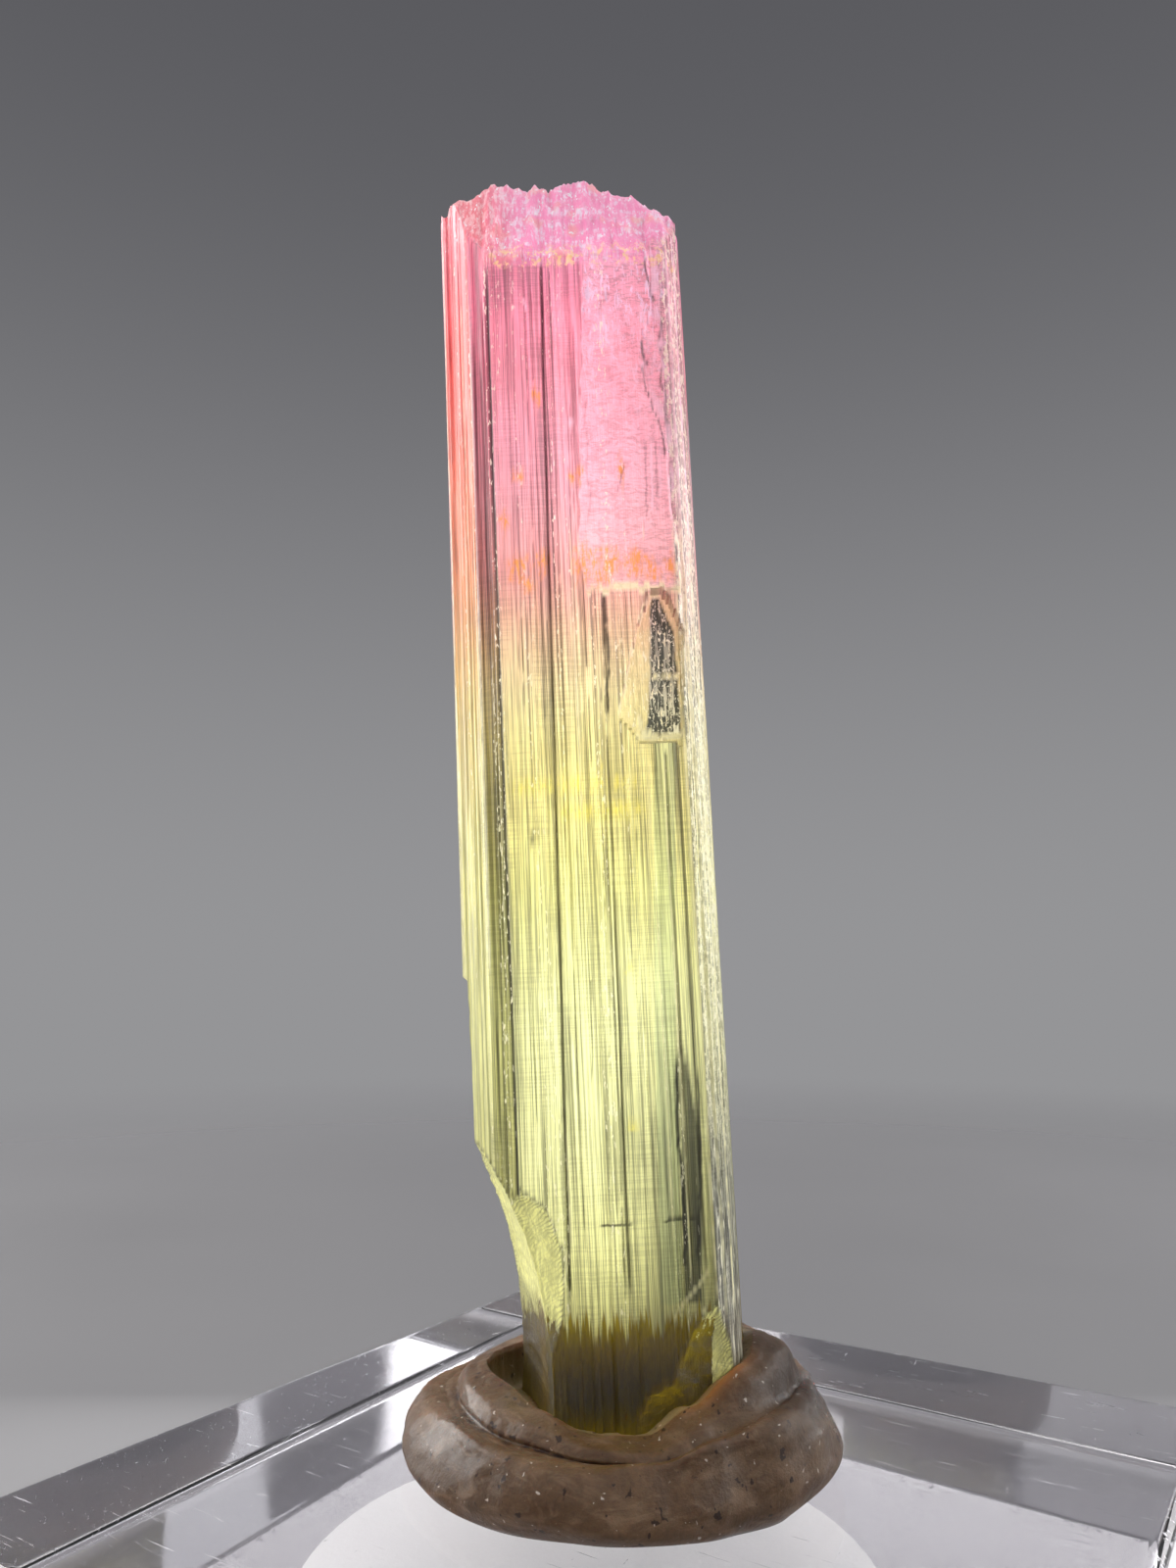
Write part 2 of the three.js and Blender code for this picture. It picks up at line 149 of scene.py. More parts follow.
# Fine dark and pale strokes on the front face: half width, strength and the places on the way.
# Along the flake's edge the dark strokes are partly painted shadow of the flakes, and the pale ones
# partly painted glints.
DARK_STROKES = [
    (0.035, 0.95, 2.43, 33.86, 2.44, 33.26, 2.52, 32.78, 2.63, 32.23),
    (0.05, 1, 2.23, 30.95, 2.23, 30.54, 2.35, 30.32, 2.26, 30.16),
    (0.03, 0.95, 2.21, 30.13, 2.29, 29.48, 2.45, 28.9, 2.59, 28.49, 2.68, 27.96, 2.73, 27.5),
    (0.035, 0.8, 2.85, 31.6, 2.72, 30.86, 2.84, 30.38, 2.7, 29.8, 2.84, 29.21, 2.78, 28.5),
    (0.03, 0.35, 0.57, 29.21, 0.48, 28.64, 0.54, 27.94, 0.46, 27.15, 0.55, 26.35, 0.45, 25.68),
    (0.03, 0.45, 1.64, 26.86, 2.13, 26.82, 2.61, 26.77), (0.03, 0.5, 2.18, 27.81, 2.1, 25.6),
    (0.03, 0.5, 2.47, 27.69, 2.43, 26.26), (0.1, 0.35, 1.06, 31.77, 1.13, 32.12, 1.33, 32.41),
    (0.03, 0.6, 1.52, 27.1, 1.43, 26.8, 1.3, 26.4), (0.075, 0.9, 0.78, 23.4, 0.79, 22.6),
    (0.06, 0.85, 0.8, 22.4, 0.83, 21.5), (0.05, 0.9, 0.81, 21.3, 0.75, 20.67, 0.74, 20.1),
    (0.05, 1, 2.1, 10.78, 2.03, 8.84, 2.1, 7.17, 2.04, 5.54),
    (0.05, 0.9, 2.65, 10.36, 2.55, 7.53, 2.38, 5.78),
    (0.03, 0.8, -2.44, 7.61, -1.88, 6.85, -1.06, 6.1, -1.05, 5.68, -1.22, 5.19, -1.29, 4.46),
    (0.025, 0.7, -0.04, 12.86, -0.13, 10.23), (0.025, 0.6, 0.43, 12.84, 0.35, 10.2),
]
PALE_AND_GLINT_STROKES = [
    (0.07, 0.9, 2.44, 31.14, 2.65, 31, 2.84, 30.85), (0.05, 0.9, 0.05, 28.48, 0.23, 28.39),
    (0.025, 0.9, -1.15, 32.32, -1.07, 32.08), (0.03, 0.8, 2.33, 27.75, 2.27, 25.82),
    (0.03, 0.7, 2.56, 27.5, 2.52, 26.3), (0.04, 0.7, 2.35, 29.9, 2.52, 29.2, 2.66, 28.6),
    (0.03, 0.7, 1.43, 3.84, 1.79, 4.44, 2.34, 5.03, 2.62, 5.39),
    (0.03, 0.6, 1.63, 3.96, 2.16, 4.2, 2.6, 4.53), (0.03, 0.6, 0.92, 2.65, 1.58, 2.98, 2.43, 3.25),
    (0.025, 0.7, -1, 6.05, -0.98, 5.6, -1.14, 5.1, -1.2, 4.4, -1.18, 2.8),
]

# Orange stains over the foot of the upper break, and yellow spots lower down: place, half sizes
ORANGE_SPOTS = [
    (0.3, 24.3, 0.4, 0.6), (0.66, 24.1, 0.2, 0.45), (1, 24.3, 0.4, 0.6), (1.75, 24.3, 0.42, 0.5),
    (2.75, 24.2, 0.2, 0.4), (2.2, 24, 0.3, 0.3), (-1.45, 26.95, 0.2, 0.2), (-1.55, 24.2, 0.3, 0.45),
    (-1.3, 23.7, 0.2, 0.3), (1.45, 27, 0.12, 0.55), (-0.9, 29.3, 0.14, 0.35),
    (-1.9, 25.6, 0.14, 0.4), (0.2, 26.9, 0.25, 0.25), (-0.9, 24.4, 0.2, 0.4),
]
YELLOW_SPOTS = [
    (-1.53, 16.88, 0.18, 0.1), (-0.52, 16.92, 0.12, 0.08), (1.19, 16.89, 0.2, 0.09),
    (-1.79, 13.24, 0.14, 0.12), (1.28, 14.99, 0.1, 0.16), (-0.3, 18.2, 1.5, 0.22),
    (0.4, 17.4, 1.2, 0.12), (-1.2, 18, 0.7, 0.12), (-0.4, 16.9, 1.5, 0.05), (1, 13.1, 0.12, 0.1),
    (0.9, 9, 0.15, 0.1),
]
DARK_SPOTS = [(-1.46, 16.62, 0.1, 0.13), (1.35, 16.4, 0.06, 0.22), (-0.3, 16.4, 0.05, 0.15)]
CRACKS = [(1.49, 2.5, 6.66), (-0.15, 0.9, 6.6)]

# Outlines of the upper break and of the hollow at the right edge, with how deep they go
UPPER_BREAK = [
    (0.12, 24.58), (0.29, 23.47), (0.9, 23.55), (1.47, 23.62), (1.85, 23.5), (3.3, 23.6),
    (3.3, 37.5), (0.9, 37.5), (0.5, 31), (0.3, 27),
]
UPPER_BREAK_FLOOR = -2.8
UPPER_BREAK_RIM = 34
UPPER_RIM_SPAN = (23, 23.2, 25, 25.4)
EDGE_HOLLOW = [
    (1, 19.94), (1.63, 19.18), (2.75, 19.13), (2.95, 22.34), (2.52, 23.34), (2.12, 23.55),
    (1.85, 22.95), (1.42, 21.5),
]
EDGE_HOLLOW_FLOOR = -2.7
EDGE_HOLLOW_TURN_DEG = 8
HOLLOW_BANK_END = 2.3
SLIVER_END = 13
BELOW_SLIVER_LEFT = -3.4
SLIVER_TURN_DEG = 1

# Shell-like breaks at the foot: centre, half sizes, turn about w and tilt about v
SHELL_BREAKS = [
    ((-5.5, -2, 2.6), (3.9, 9, 7.2), 10, 0),
    ((-3.1, -4.6, 4.9), (2.9, 2.4, 4.1), 0, 10),
    ((3.3, -3.9, 2.6), (2.3, 1.45, 3.2), 0, 20),
    ((1.7, -3.7, 1.6), (1.6, 1.1, 1.7), 0, 30),
]
FOOT_ZONE = 10
SHELL_SEEN = 0.04

# Small chips down the right edge
EDGE_CHIPS = 8
EDGE_CHIP_PLACE = 3
EDGE_CHIP_SPAN = (26.5, 35)
EDGE_CHIP_SIZE = (0.25, 0.5)

# The broken top: its heights across the crystal, and its slopes to the front and to the back
SKYLINE = [
    (-3.9, 36.6), (-3.57, 36.2), (-2.86, 36.4), (-1.85, 36.91), (-1.4, 36.68), (0.1, 36.7),
    (0.8, 36.82), (1.4, 36.53), (2.2, 36.26), (2.9, 35.9), (3.3, 35.6), (3.9, 34.9),
]
SKYLINE_AWAY = -1.6
FRONT_SLOPE_FOOT = 33.5
TOP_RISE = 0.18
BACK_SLOPE_START = 0.6
BACK_SLOPE = 0.85
FIBRE_STEP = 0.3
FIBRE_RELIEF = 0.22
CAP_RINGS = 42

# Putty: angle, radius of its foot, reach of the lip, heights of its shoulder and of the lip
PUTTY_STATIONS = [
    (-180, 5.8, 3.9, 1.65, 2.5), (-150, 5.55, 3.75, 1.75, 2.45), (-125, 5.5, 3.75, 1.7, 2.2),
    (-100, 5.4, 3.85, 1.6, 1.9), (-80, 5.28, 3.9, 1.65, 1.85), (-62, 5.4, 4.1, 2.1, 2.45),
    (-42, 5.8, 4.3, 2.4, 3.25), (-20, 5.85, 4.2, 2.35, 3.6), (15, 5.75, 4.1, 2.05, 3.1),
    (60, 5.6, 4, 1.9, 2.4), (100, 5.6, 3.9, 1.75, 2.25), (140, 5.65, 3.9, 1.6, 2.3),
]
# Its section: shares of the foot's radius, the lip's reach, the shoulder's height and the lip's
PUTTY_SECTION = [
    (0.94, 0, 0, 0), (0.99, 0, 0.1, 0), (1.02, 0, 0.32, 0), (1, 0, 0.58, 0), (0.9, 0.08, 0.83, 0),
    (0.78, 0.2, 0.97, 0), (0.55, 0.44, 0.98, 0), (0.24, 0.82, 0.5, 0.4), (0.14, 0.9, 0.1, 0.84),
    (0, 1, 0, 0.97), (0, 0.93, 0, 1),
]
PUTTY_WAVE = 0.02
PUTTY_COLUMNS = 320
PUTTY_ROWS = 66
CREASE_AT = 6.75
FRONT_EDGE_DEG = (-88, -66)
RIGHT_SIDE_DEG = (-70, -50, 70, 100)
POCKET_FOOT = 0.75
POCKET_MIDDLE = 0.72
POCKET_CLEAR = 0.03
STONE_RINGS_IN_PUTTY = 26


# Numbers and noise

def scatter(i, j):
    """Repeatable scatter from 0 to 1 for pairs of whole numbers."""
    wave = np.sin(i * 127.1 + j * 311.7 + 5.3) * 43758.5453
    return wave - np.floor(wave)


def grid_value(i, j, p, q):
    """Scatter between four whole places, at the shares p and q between them."""
    low = scatter(i, j) * (1 - p) + scatter(i + 1, j) * p
    high = scatter(i, j + 1) * (1 - p) + scatter(i + 1, j + 1) * p
    return low * (1 - q) + high * q


def noise(x, y, seed):
    """Smooth noise from -1 to 1 over two numbers, with a bump about every whole step."""
    x, y = np.broadcast_arrays(np.asarray(x, float), np.asarray(y, float))
    i, j = np.floor(x), np.floor(y)
    p, q = x - i, y - j
    p, q = p * p * (3 - 2 * p), q * q * (3 - 2 * q)
    return 2 * grid_value(i + 13 * seed, j + 7 * seed, p, q) - 1


def step(value, start, end):
    """0 before start, 1 after end and smooth between them."""
    share = np.clip((value - start) / (end - start), 0, 1)
    return share * share * (3 - 2 * share)


def along(span, share):
    return span[0] + (span[1] - span[0]) * share


def between(value, start, full, last, end):
    """1 from full to last, 0 before start and after end."""
    return step(value, start, full) * (1 - step(value, last, end))


def hump(value, middle, reach):
    return np.exp(-((value - middle) / reach) ** 2)


def inside(points, x, y):
    """Which places are inside an outline."""
    found = np.zeros(np.shape(x), bool)
    for (x0, y0), (x1, y1) in zip(points, points[1:] + points[:1]):
        if y0 == y1:
            continue
        cross = x0 + (y - y0) * (x1 - x0) / (y1 - y0)
        found ^= ((y0 > y) != (y1 > y)) & (x < cross)
    return found


# Meshes

def add_object(name, data):
    found = bpy.data.objects.new(name, data)
    bpy.context.scene.collection.objects.link(found)
    return found


def mesh_piece(name, points, faces, place=None, sharp_deg=None, values=()):
    """A mesh object from points in millimetres, with named values for each point."""
    mesh = bpy.data.meshes.new(name)
    mesh.from_pydata((np.asarray(points) * MM).tolist(), [], faces)
    mesh.validate()
    for key, numbers in dict(values).items():
        layer = mesh.attributes.new(key, "FLOAT", "POINT")
        layer.data.foreach_set("value", np.asarray(numbers, np.float32).ravel())
    mesh.shade_smooth()
    if sharp_deg is not None:
        mesh.set_sharp_from_angle(angle=math.radians(sharp_deg))
    piece = add_object(name, mesh)
    if place is not None:
        piece.matrix_world = place
    return piece


def tube_faces(rows, columns):
    """Faces between rings of points, which run anticlockwise seen from above, going up."""
    r, c = np.meshgrid(np.arange(rows - 1), np.arange(columns), indexing="ij")
    here, after = r * columns, (c + 1) % columns
    quads = np.stack([here + c, here + after, here + columns + after, here + columns + c], -1)
    return quads.reshape(-1, 4).tolist()


def fan_faces(ring_start, columns, centre, up):
    """Triangles from a ring to a centre point."""
    pairs = [(ring_start + c, ring_start + (c + 1) % columns) for c in range(columns)]
    return [[a, b, centre] if up else [b, a, centre] for a, b in pairs]


def closed_tube(rings, last_middle, first_middle):
    """Points and faces of rings that end in a fan at both ends."""
    rows, columns = rings.shape[:2]
    count = rows * columns
    faces = tube_faces(rows, columns)
    faces += fan_faces(count - columns, columns, count, True)
    faces += fan_faces(0, columns, count + 1, False)
    return np.concatenate([rings.reshape(-1, 3), [last_middle, first_middle]]), faces


# Crystal

def section_columns():
    """Place, inward direction, distance round and face of every column of the crystal."""
    found, walked = [], 0.0
    for face, corner in enumerate(SECTION_CORNERS):
        start_at = np.array(corner)
        run = np.array(SECTION_CORNERS[(face + 1) % len(SECTION_CORNERS)]) - start_at
        length = float(np.hypot(*run))
        ahead = run / length
        inward = np.array([-ahead[1], ahead[0]])
        spacing = FINE_STEP.get(face, COARSE_STEP)
        start, lath = 0.0, 0
        while start < length:
            width = along(LATH_WIDTH, float(scatter(face, lath)))
            end = length if length - start - width < LATH_WIDTH[0] else start + width
            inset = LATH_INSET * float(scatter(face + 40, lath))
            low, high = start + LATH_RISER, end - LATH_RISER
            for d in np.linspace(low, high, max(1, round((high - low) / spacing)) + 1):
                found.append([*(start_at + d * ahead + inset * inward), *inward, walked + d, face])
            start, lath = end, lath + 1
        walked += length
    return np.array(found), walked


def top_height(u, v):
    """Height of the broken, fibrous top over a place in the section."""
    sky = np.interp(u, *np.array(SKYLINE).T)
    i, j = np.floor(u / FIBRE_STEP), np.floor(v / FIBRE_STEP)
    rough = FIBRE_RELIEF * (grid_value(i, j, u / FIBRE_STEP - i, v / FIBRE_STEP - j) - 0.5)
    rough = rough + 0.10 * noise(u / 0.14, v / 0.45, 31) + 0.05 * noise(u / 0.07, v / 0.2, 32)
    ahead = (v - FRONT) / (SKYLINE_AWAY - FRONT)
    front = FRONT_SLOPE_FOOT + (sky - FRONT_SLOPE_FOOT) * ahead
    level = sky + TOP_RISE * (v - SKYLINE_AWAY)
    back = level - BACK_SLOPE * np.maximum(0, v - BACK_SLOPE_START)
    slope = between(ahead, 0, 0.1, 0.85, 1)
    ribs = 0.16 * noise(u / 0.21, v / 2.0, 33) + 0.08 * noise(u / 0.10, v / 1.2, 34)
    ledges = 0.10 * noise(u / 0.5, v / 0.11, 35)
    return np.minimum(front, back) + rough + slope * (ribs + ledges)


def line_marks(around, girth, height, front):
    """Depth and darkness of the long lines, on the front face and scattered round the rest. Their
    darkness is partly painted shade, where the striations refract the light away.
    """
    depth, dark = np.zeros_like(height), np.zeros_like(height)
    u = around + SECTION_CORNERS[0][0]
    for k, (high_u, low_u, top, bottom, half, deep, shade, missing) in enumerate(LINES):
        place = low_u + (high_u - low_u) * (height - LINE_LEVELS[0]) / LINE_LEVELS[1]
        place = place + 0.012 * noise(height / 2.3, k, 41)
        near = np.clip(1 - np.abs(u - place) / half, 0, 1)
        ends = between(height, bottom, bottom + 0.8, top - 0.6, top)
        gaps = 1 - step(missing - 0.5 - 0.5 * noise(height / 0.45, k * 3.7, 42), -0.1, 0.1)
        mark = near * ends * front
        depth = np.maximum(depth, deep * mark * (0.5 + 0.5 * gaps))
        dark = np.maximum(dark, shade * np.sqrt(mark) * gaps)
    for k, (place, top, bottom, half, shade) in enumerate(SIDE_LINES):
        place = place % girth + 0.015 * noise(height / 2.1, k, 47)
        near = np.clip(1.2 - np.abs(around - place) / half, 0, 1)
        ends = between(height, bottom, bottom + 1.5, top - 1.5, top)
        depth = np.maximum(depth, 0.05 * near * ends)
        dark = np.maximum(dark, shade * np.sqrt(near) * ends)
    for k in range(SPARE_LINES):
        pick = [float(scatter(k, 60 + n)) for n in range(5)]
        place = pick[0] * SPARE_LINES_ROUND
        middle, reach = 4 + 30 * pick[1], 3 + 12 * pick[2]
        half = 0.022 + 0.03 * pick[3]
        near = np.clip(1 - np.abs(around - place) / half, 0, 1)
        ends = 1 - step(np.abs(height - middle), reach * 0.7, reach)
        gaps = step(noise(height / 0.7, k * 5.1, 43), -0.7, 0.0)
        depth = np.maximum(depth, 0.04 * near * ends)
        dark = np.maximum(dark, (0.2 + 0.55 * pick[4] ** 2) * near * ends * gaps)
    return depth, dark


def pale_marks(around, girth, height):
    """Strength of the thin pale lines, which glint where a narrow edge catches the light."""
    pale = np.zeros_like(height)
    for k, (place, top, bottom, half, strength) in enumerate(PALE_LINES):
        place = place % girth + 0.015 * noise(height / 1.7, k, 44)
        near = np.clip(1.3 - np.abs(around - place) / half, 0, 1)
        ends = between(height, bottom, bottom + 0.6, top - 0.6, top)
        beads = 0.45 + 0.55 * step(noise(height / 0.22, k * 3.1, 45), -0.3, 0.5)
        pale = np.maximum(pale, strength * near * ends * beads)
    return pale


def strip(table, u, w):
    """1 between two edges that are given at a few heights, with ragged sides."""
    table = np.array(table)
    ragged = 0.03 * noise(w / 0.4, 3.3, 46)
    left = np.interp(w, table[:, 0], table[:, 1]) + ragged
    right = np.interp(w, table[:, 0], table[:, 2]) + ragged
    inner = between(u, left - STRIP_SOFT, left + STRIP_SOFT, right - STRIP_SOFT, right + STRIP_SOFT)
    return inner * (w > table[0, 0]) * (w < table[-1, 0])


def spots(table, u, w, seed):
    """Ragged blots, each with its place and half sizes."""
    found = np.zeros_like(w)
    for k, (at_u, at_w, half_u, half_w) in enumerate(table):
        far = np.hypot((u - at_u) / half_u, (w - at_w) / half_w)
        far = far + 0.55 * noise(u / 0.07, w / 0.13, seed + k)
        found = np.maximum(found, 1 - step(far, 0.55, 1.15))
    return found


def strokes(table, u, w, seed):
    """Strength of fine strokes along broken lines, with an uneven hand."""
    found = np.zeros_like(w)
    for k, (half, strength, *course) in enumerate(table):
        course = np.reshape(course, (-1, 2))
        at_u = u + 0.025 * noise(w / 0.16, u / 0.3, seed + k)
        for (u0, w0), (u1, w1) in zip(course, course[1:]):
            run_u, run_w = u1 - u0, w1 - w0
            share = ((at_u - u0) * run_u + (w - w0) * run_w) / (run_u ** 2 + run_w ** 2)
            share = np.clip(share, 0, 1)
            far = np.hypot(at_u - u0 - share * run_u, w - w0 - share * run_w)
            found = np.maximum(found, strength * np.clip(1.4 - far / half, 0, 1))
    return found


def push_out_of_shell(points, centre, half_sizes, turn_deg, tilt_deg, relief):
    """Moves the points inside a rounded break towards the axis, to its surface."""
    turn = Matrix.Rotation(math.radians(turn_deg), 3, "Z")
    turn = np.array(turn @ Matrix.Rotation(math.radians(tilt_deg), 3, "Y"))
    back = turn.T / np.array(half_sizes)[:, None]
    place = (points - np.array(centre)) @ back.T
    inner = (place ** 2).sum(-1) < 1
    heading = np.zeros_like(points)
    heading[..., 0] = STONE_AXIS[0] - points[..., 0]
    heading[..., 1] = STONE_AXIS[1] - points[..., 1]
    heading /= np.maximum(np.linalg.norm(heading, axis=-1, keepdims=True), 1e-6)
    dirs = heading @ back.T
    a, b = (dirs ** 2).sum(-1), (dirs * place).sum(-1)
    c = (place ** 2).sum(-1) - 1
    gone = np.where(inner, (-b + np.sqrt(np.maximum(b * b - a * c, 0))) / a, 0)
    rough = relief * np.minimum(gone / 0.08, 1)
    return points + heading * (gone + rough * inner)[..., None], gone


def stone_arrays():
    """Points of the crystal's sides, ring by ring, and its values for the material."""
    columns, girth = section_columns()
    home, inward, around, face = columns[:, :2], columns[:, 2:4], columns[:, 4], columns[:, 5]
    rim_home = home.copy()
    broken = inside(UPPER_BREAK, rim_home[:, 0], np.full(len(home), UPPER_BREAK_RIM))
    broken &= rim_home[:, 1] < UPPER_BREAK_FLOOR
    rim_home[broken, 1] = UPPER_BREAK_FLOOR
    rim = top_height(rim_home[:, 0], rim_home[:, 1])

    share = np.linspace(0, 1, RIM_RINGS)[:, None]
    height = np.concatenate([
        np.repeat(RING_LEVELS[:, None], len(home), 1), RIM_START + share * (rim[None] - RIM_START),
    ])
    around = np.broadcast_to(around, height.shape)
    front = np.broadcast_to((face == FRONT_FACE).astype(float), height.shape)
    right = np.isin(face, RIGHT_FACES) * (1 - step(home[:, 1], *RIGHT_FADE))
    right = np.broadcast_to(right, height.shape)

    depth, dark = line_marks(around, girth, height, front)
    ribs = 0.012 * noise(around / 0.075, height / 5, 1) + 0.018 * noise(around / 0.2, height / 9, 2)
    grain = 0.02 * noise(around / 0.10, height / 0.35, 3) * right
    shift = depth + 0.02 + ribs + grain
    points = np.empty(height.shape + (3,))
    points[..., :2] = home + inward * shift[..., None]
    points[..., 2] = height

    u, w = points[..., 0], height
    wander_u = u + 0.05 * noise(w / 0.35, u / 2, 4)
    wander_w = w + 0.10 * noise(u / 0.22, w / 3, 5) + 0.05 * noise(u / 0.09, w / 3, 6)
    arcs = np.hypot(u - 4.2, (w - 33.5) * 0.55) + 0.15 * noise(u / 0.8, w / 1.6, 7)
    relief = 0.030 * noise(u / 0.55, w / 1.3, 8) + 0.016 * np.sin(arcs * 7)
    relief = relief + 0.012 * noise(u / 0.12, w / 0.8, 9)
    edge = np.interp(w, *np.array(FLAKE_EDGE).T)
    edge = edge + 0.12 * noise(w / 0.6, 1.5, 16) + 0.05 * noise(w / 0.17, 2.5, 17)
    flake = step(u, edge, edge + 0.04) * (w > FLAKE_EDGE[0][0])
    floor = UPPER_BREAK_FLOOR + relief + FLAKE_DEPTH * flake
    upper = inside(UPPER_BREAK, wander_u, wander_w) & (points[..., 1] < floor)
    points[..., 1] = np.where(upper, floor, points[..., 1])

    turn = math.tan(math.radians(EDGE_HOLLOW_TURN_DEG))
    pits = 0.03 * noise(u / 0.16, w / 0.16, 10) + 0.03 * noise(u / 0.5, w / 0.4, 11)
    hollow_floor = EDGE_HOLLOW_FLOOR + (u - EDGE_HOLLOW[0][0]) * turn + pits
    hollow = inside(EDGE_HOLLOW, wander_u, w + 0.05 * noise(u / 0.2, w, 12))
    hollow &= points[..., 1] < hollow_floor
    points[..., 1] = np.where(hollow, hollow_floor, points[..., 1])

    left_limit = BELOW_SLIVER_LEFT - math.tan(math.radians(SLIVER_TURN_DEG)) * (w - SLIVER_END / 2)
    left_limit = left_limit + 0.02 * noise(w / 0.5, points[..., 1] / 0.5, 13)
    recess = (w < SLIVER_END) & (points[..., 0] < left_limit)
    points[..., 0] = np.where(recess, left_limit, points[..., 0])

    hackle = 0.035 * noise(w / 0.17 + u / 0.5, u / 0.45, 14) + 0.02 * noise(w / 0.08, u / 0.2, 15)
    shell = np.zeros_like(height)
    for centre, half_sizes, turn_deg, tilt_deg in SHELL_BREAKS:
        points, gone = push_out_of_shell(points, centre, half_sizes, turn_deg, tilt_deg, hackle)
        shell = np.maximum(shell, gone)
    for i in range(EDGE_CHIPS):
        level = along(EDGE_CHIP_SPAN, (i + 0.5 * float(scatter(i, 3))) / EDGE_CHIPS)
        size = along(EDGE_CHIP_SIZE, float(scatter(i, 7)))
        chip = (EDGE_CHIP_PLACE, FRONT, level), (size, 0.5 * size, 1.6 * size), 0, 0
        points, gone = push_out_of_shell(points, *chip, hackle * 0.6)
        shell = np.maximum(shell, gone)

    upper, hollow = upper * 1.0, hollow * 1.0
    cut = np.minimum(shell * 30, 1)
    dark = dark * (1 - np.maximum.reduce([upper * 0.75, hollow, cut]))
    for left, right_end, level in CRACKS:
        crack = between(u, left, left + 0.15, right_end - 0.3, right_end)
        crack = crack * front * (np.abs(w - level - 0.03 * (u - left)) < 0.035)
        dark = np.maximum(dark, 0.8 * crack)
    rim_line = np.abs(np.diff(upper, axis=0, prepend=upper[:1]))
    rim_line = rim_line + np.abs(np.diff(upper, axis=0, append=upper[-1:]))
    rim_line = rim_line * between(w, *UPPER_RIM_SPAN) * step(noise(u / 0.2, 2.2, 20), -0.6, 0.2)
    bank = np.zeros_like(hollow)
    for axis in (0, 1):
        for shift_by in (-1, 1):
            bank = np.maximum(bank, np.abs(hollow - np.roll(hollow, shift_by, axis)))
    ragged = step(noise(u / 0.13, w / 0.21, 19), -0.5, 0.2)
    bank = bank * ragged * (u < HOLLOW_BANK_END) * step(w, 19.8, 20.1)
    bank = np.maximum(bank, hollow * spots(WHITE_SPOTS, u, w, 120))
    grey = hollow * strip(GREY_PATCH, u, w)
    lip = sum(np.abs(cut - np.roll(cut, 1, axis)) for axis in (0, 1)) * (w < FOOT_ZONE)
    near_lip = np.where(shell > 0, np.exp(-shell / 0.16), 0) * (w < FOOT_ZONE)
    dark = np.maximum(dark, 0.7 * np.minimum(lip, 1))
    ahead = points[..., 1] < AHEAD
    # dark strokes, partly painted shadow along the flake's edge
    dark = np.maximum.reduce([
        dark, ahead * strokes(DARK_STROKES, u, w, 130), front * spots(DARK_SPOTS, u, w, 70) * 0.7,
    ])
    # painted highlight just beside the flake's edge
    flake_glint = upper * between(u, edge + 0.06, edge + 0.12, edge + 0.2, edge + 0.45)
    flake_glint = flake_glint * step(noise(w / 0.35, u / 0.15, 22), 0, 0.4)
    pale = pale_marks(around, girth, height) * (1 - np.maximum(hollow, cut))
    # pale strokes, partly painted glints along the flake's edge
    light = ahead * strokes(PALE_AND_GLINT_STROKES, u, w, 160)
    pale = np.maximum.reduce([pale, np.minimum(rim_line, 1), bank, 0.8 * flake_glint, light])
    values = {
        "dark": dark,
        "pale": pale,
        "orange": front * spots(ORANGE_SPOTS, u, w, 80),
        "yellow": front * spots(YELLOW_SPOTS, u, w, 100),
        "green": front * (1 - hollow) * strip(GREEN_STRIP, u, w),
        "olive": front * (1 - cut) * strip(OLIVE_STRIP, u, w),
        "grey": grey,
        "upper": upper,
        "hollow": hollow,
        "shell": np.minimum(shell / SHELL_SEEN, 1),
        "lip": near_lip,
        "left_flat": np.broadcast_to((face == LEFT_FLAT) * 1.0, height.shape),
        "left_edge": np.broadcast_to((face == LEFT_EDGE) * 1.0, height.shape),
        "right_edge": right,
        "top": np.zeros_like(height),
    }
    return points, values


def make_stone(place):
    points, values = stone_arrays()
    columns = points.shape[1]
    share = (np.arange(1, CAP_RINGS) / CAP_RINGS)[:, None, None]
    rim = points[-1]
    cap = np.empty((CAP_RINGS - 1, columns, 3))
    cap[..., :2] = rim[None, :, :2] * (1 - share)
    cap[..., 2] = top_height(cap[..., 0], cap[..., 1])
    rings = np.concatenate([points, cap])
    top_middle = [0, 0, float(top_height(np.array(0.0), np.array(0.0)))]
    foot_middle = [*points[0, :, :2].mean(0), STONE_FOOT]
    every, faces = closed_tube(rings, top_middle, foot_middle)
    full = {}
    for key, numbers in values.items():
        fill = 1.0 if key == "top" else 0.0
        over = np.full((CAP_RINGS - 1, columns), fill)
        full[key] = np.concatenate([numbers.ravel(), over.ravel(), [fill, 0.0]])
    return mesh_piece("crystal_stone", every, faces, place, 32, full)


# Materials

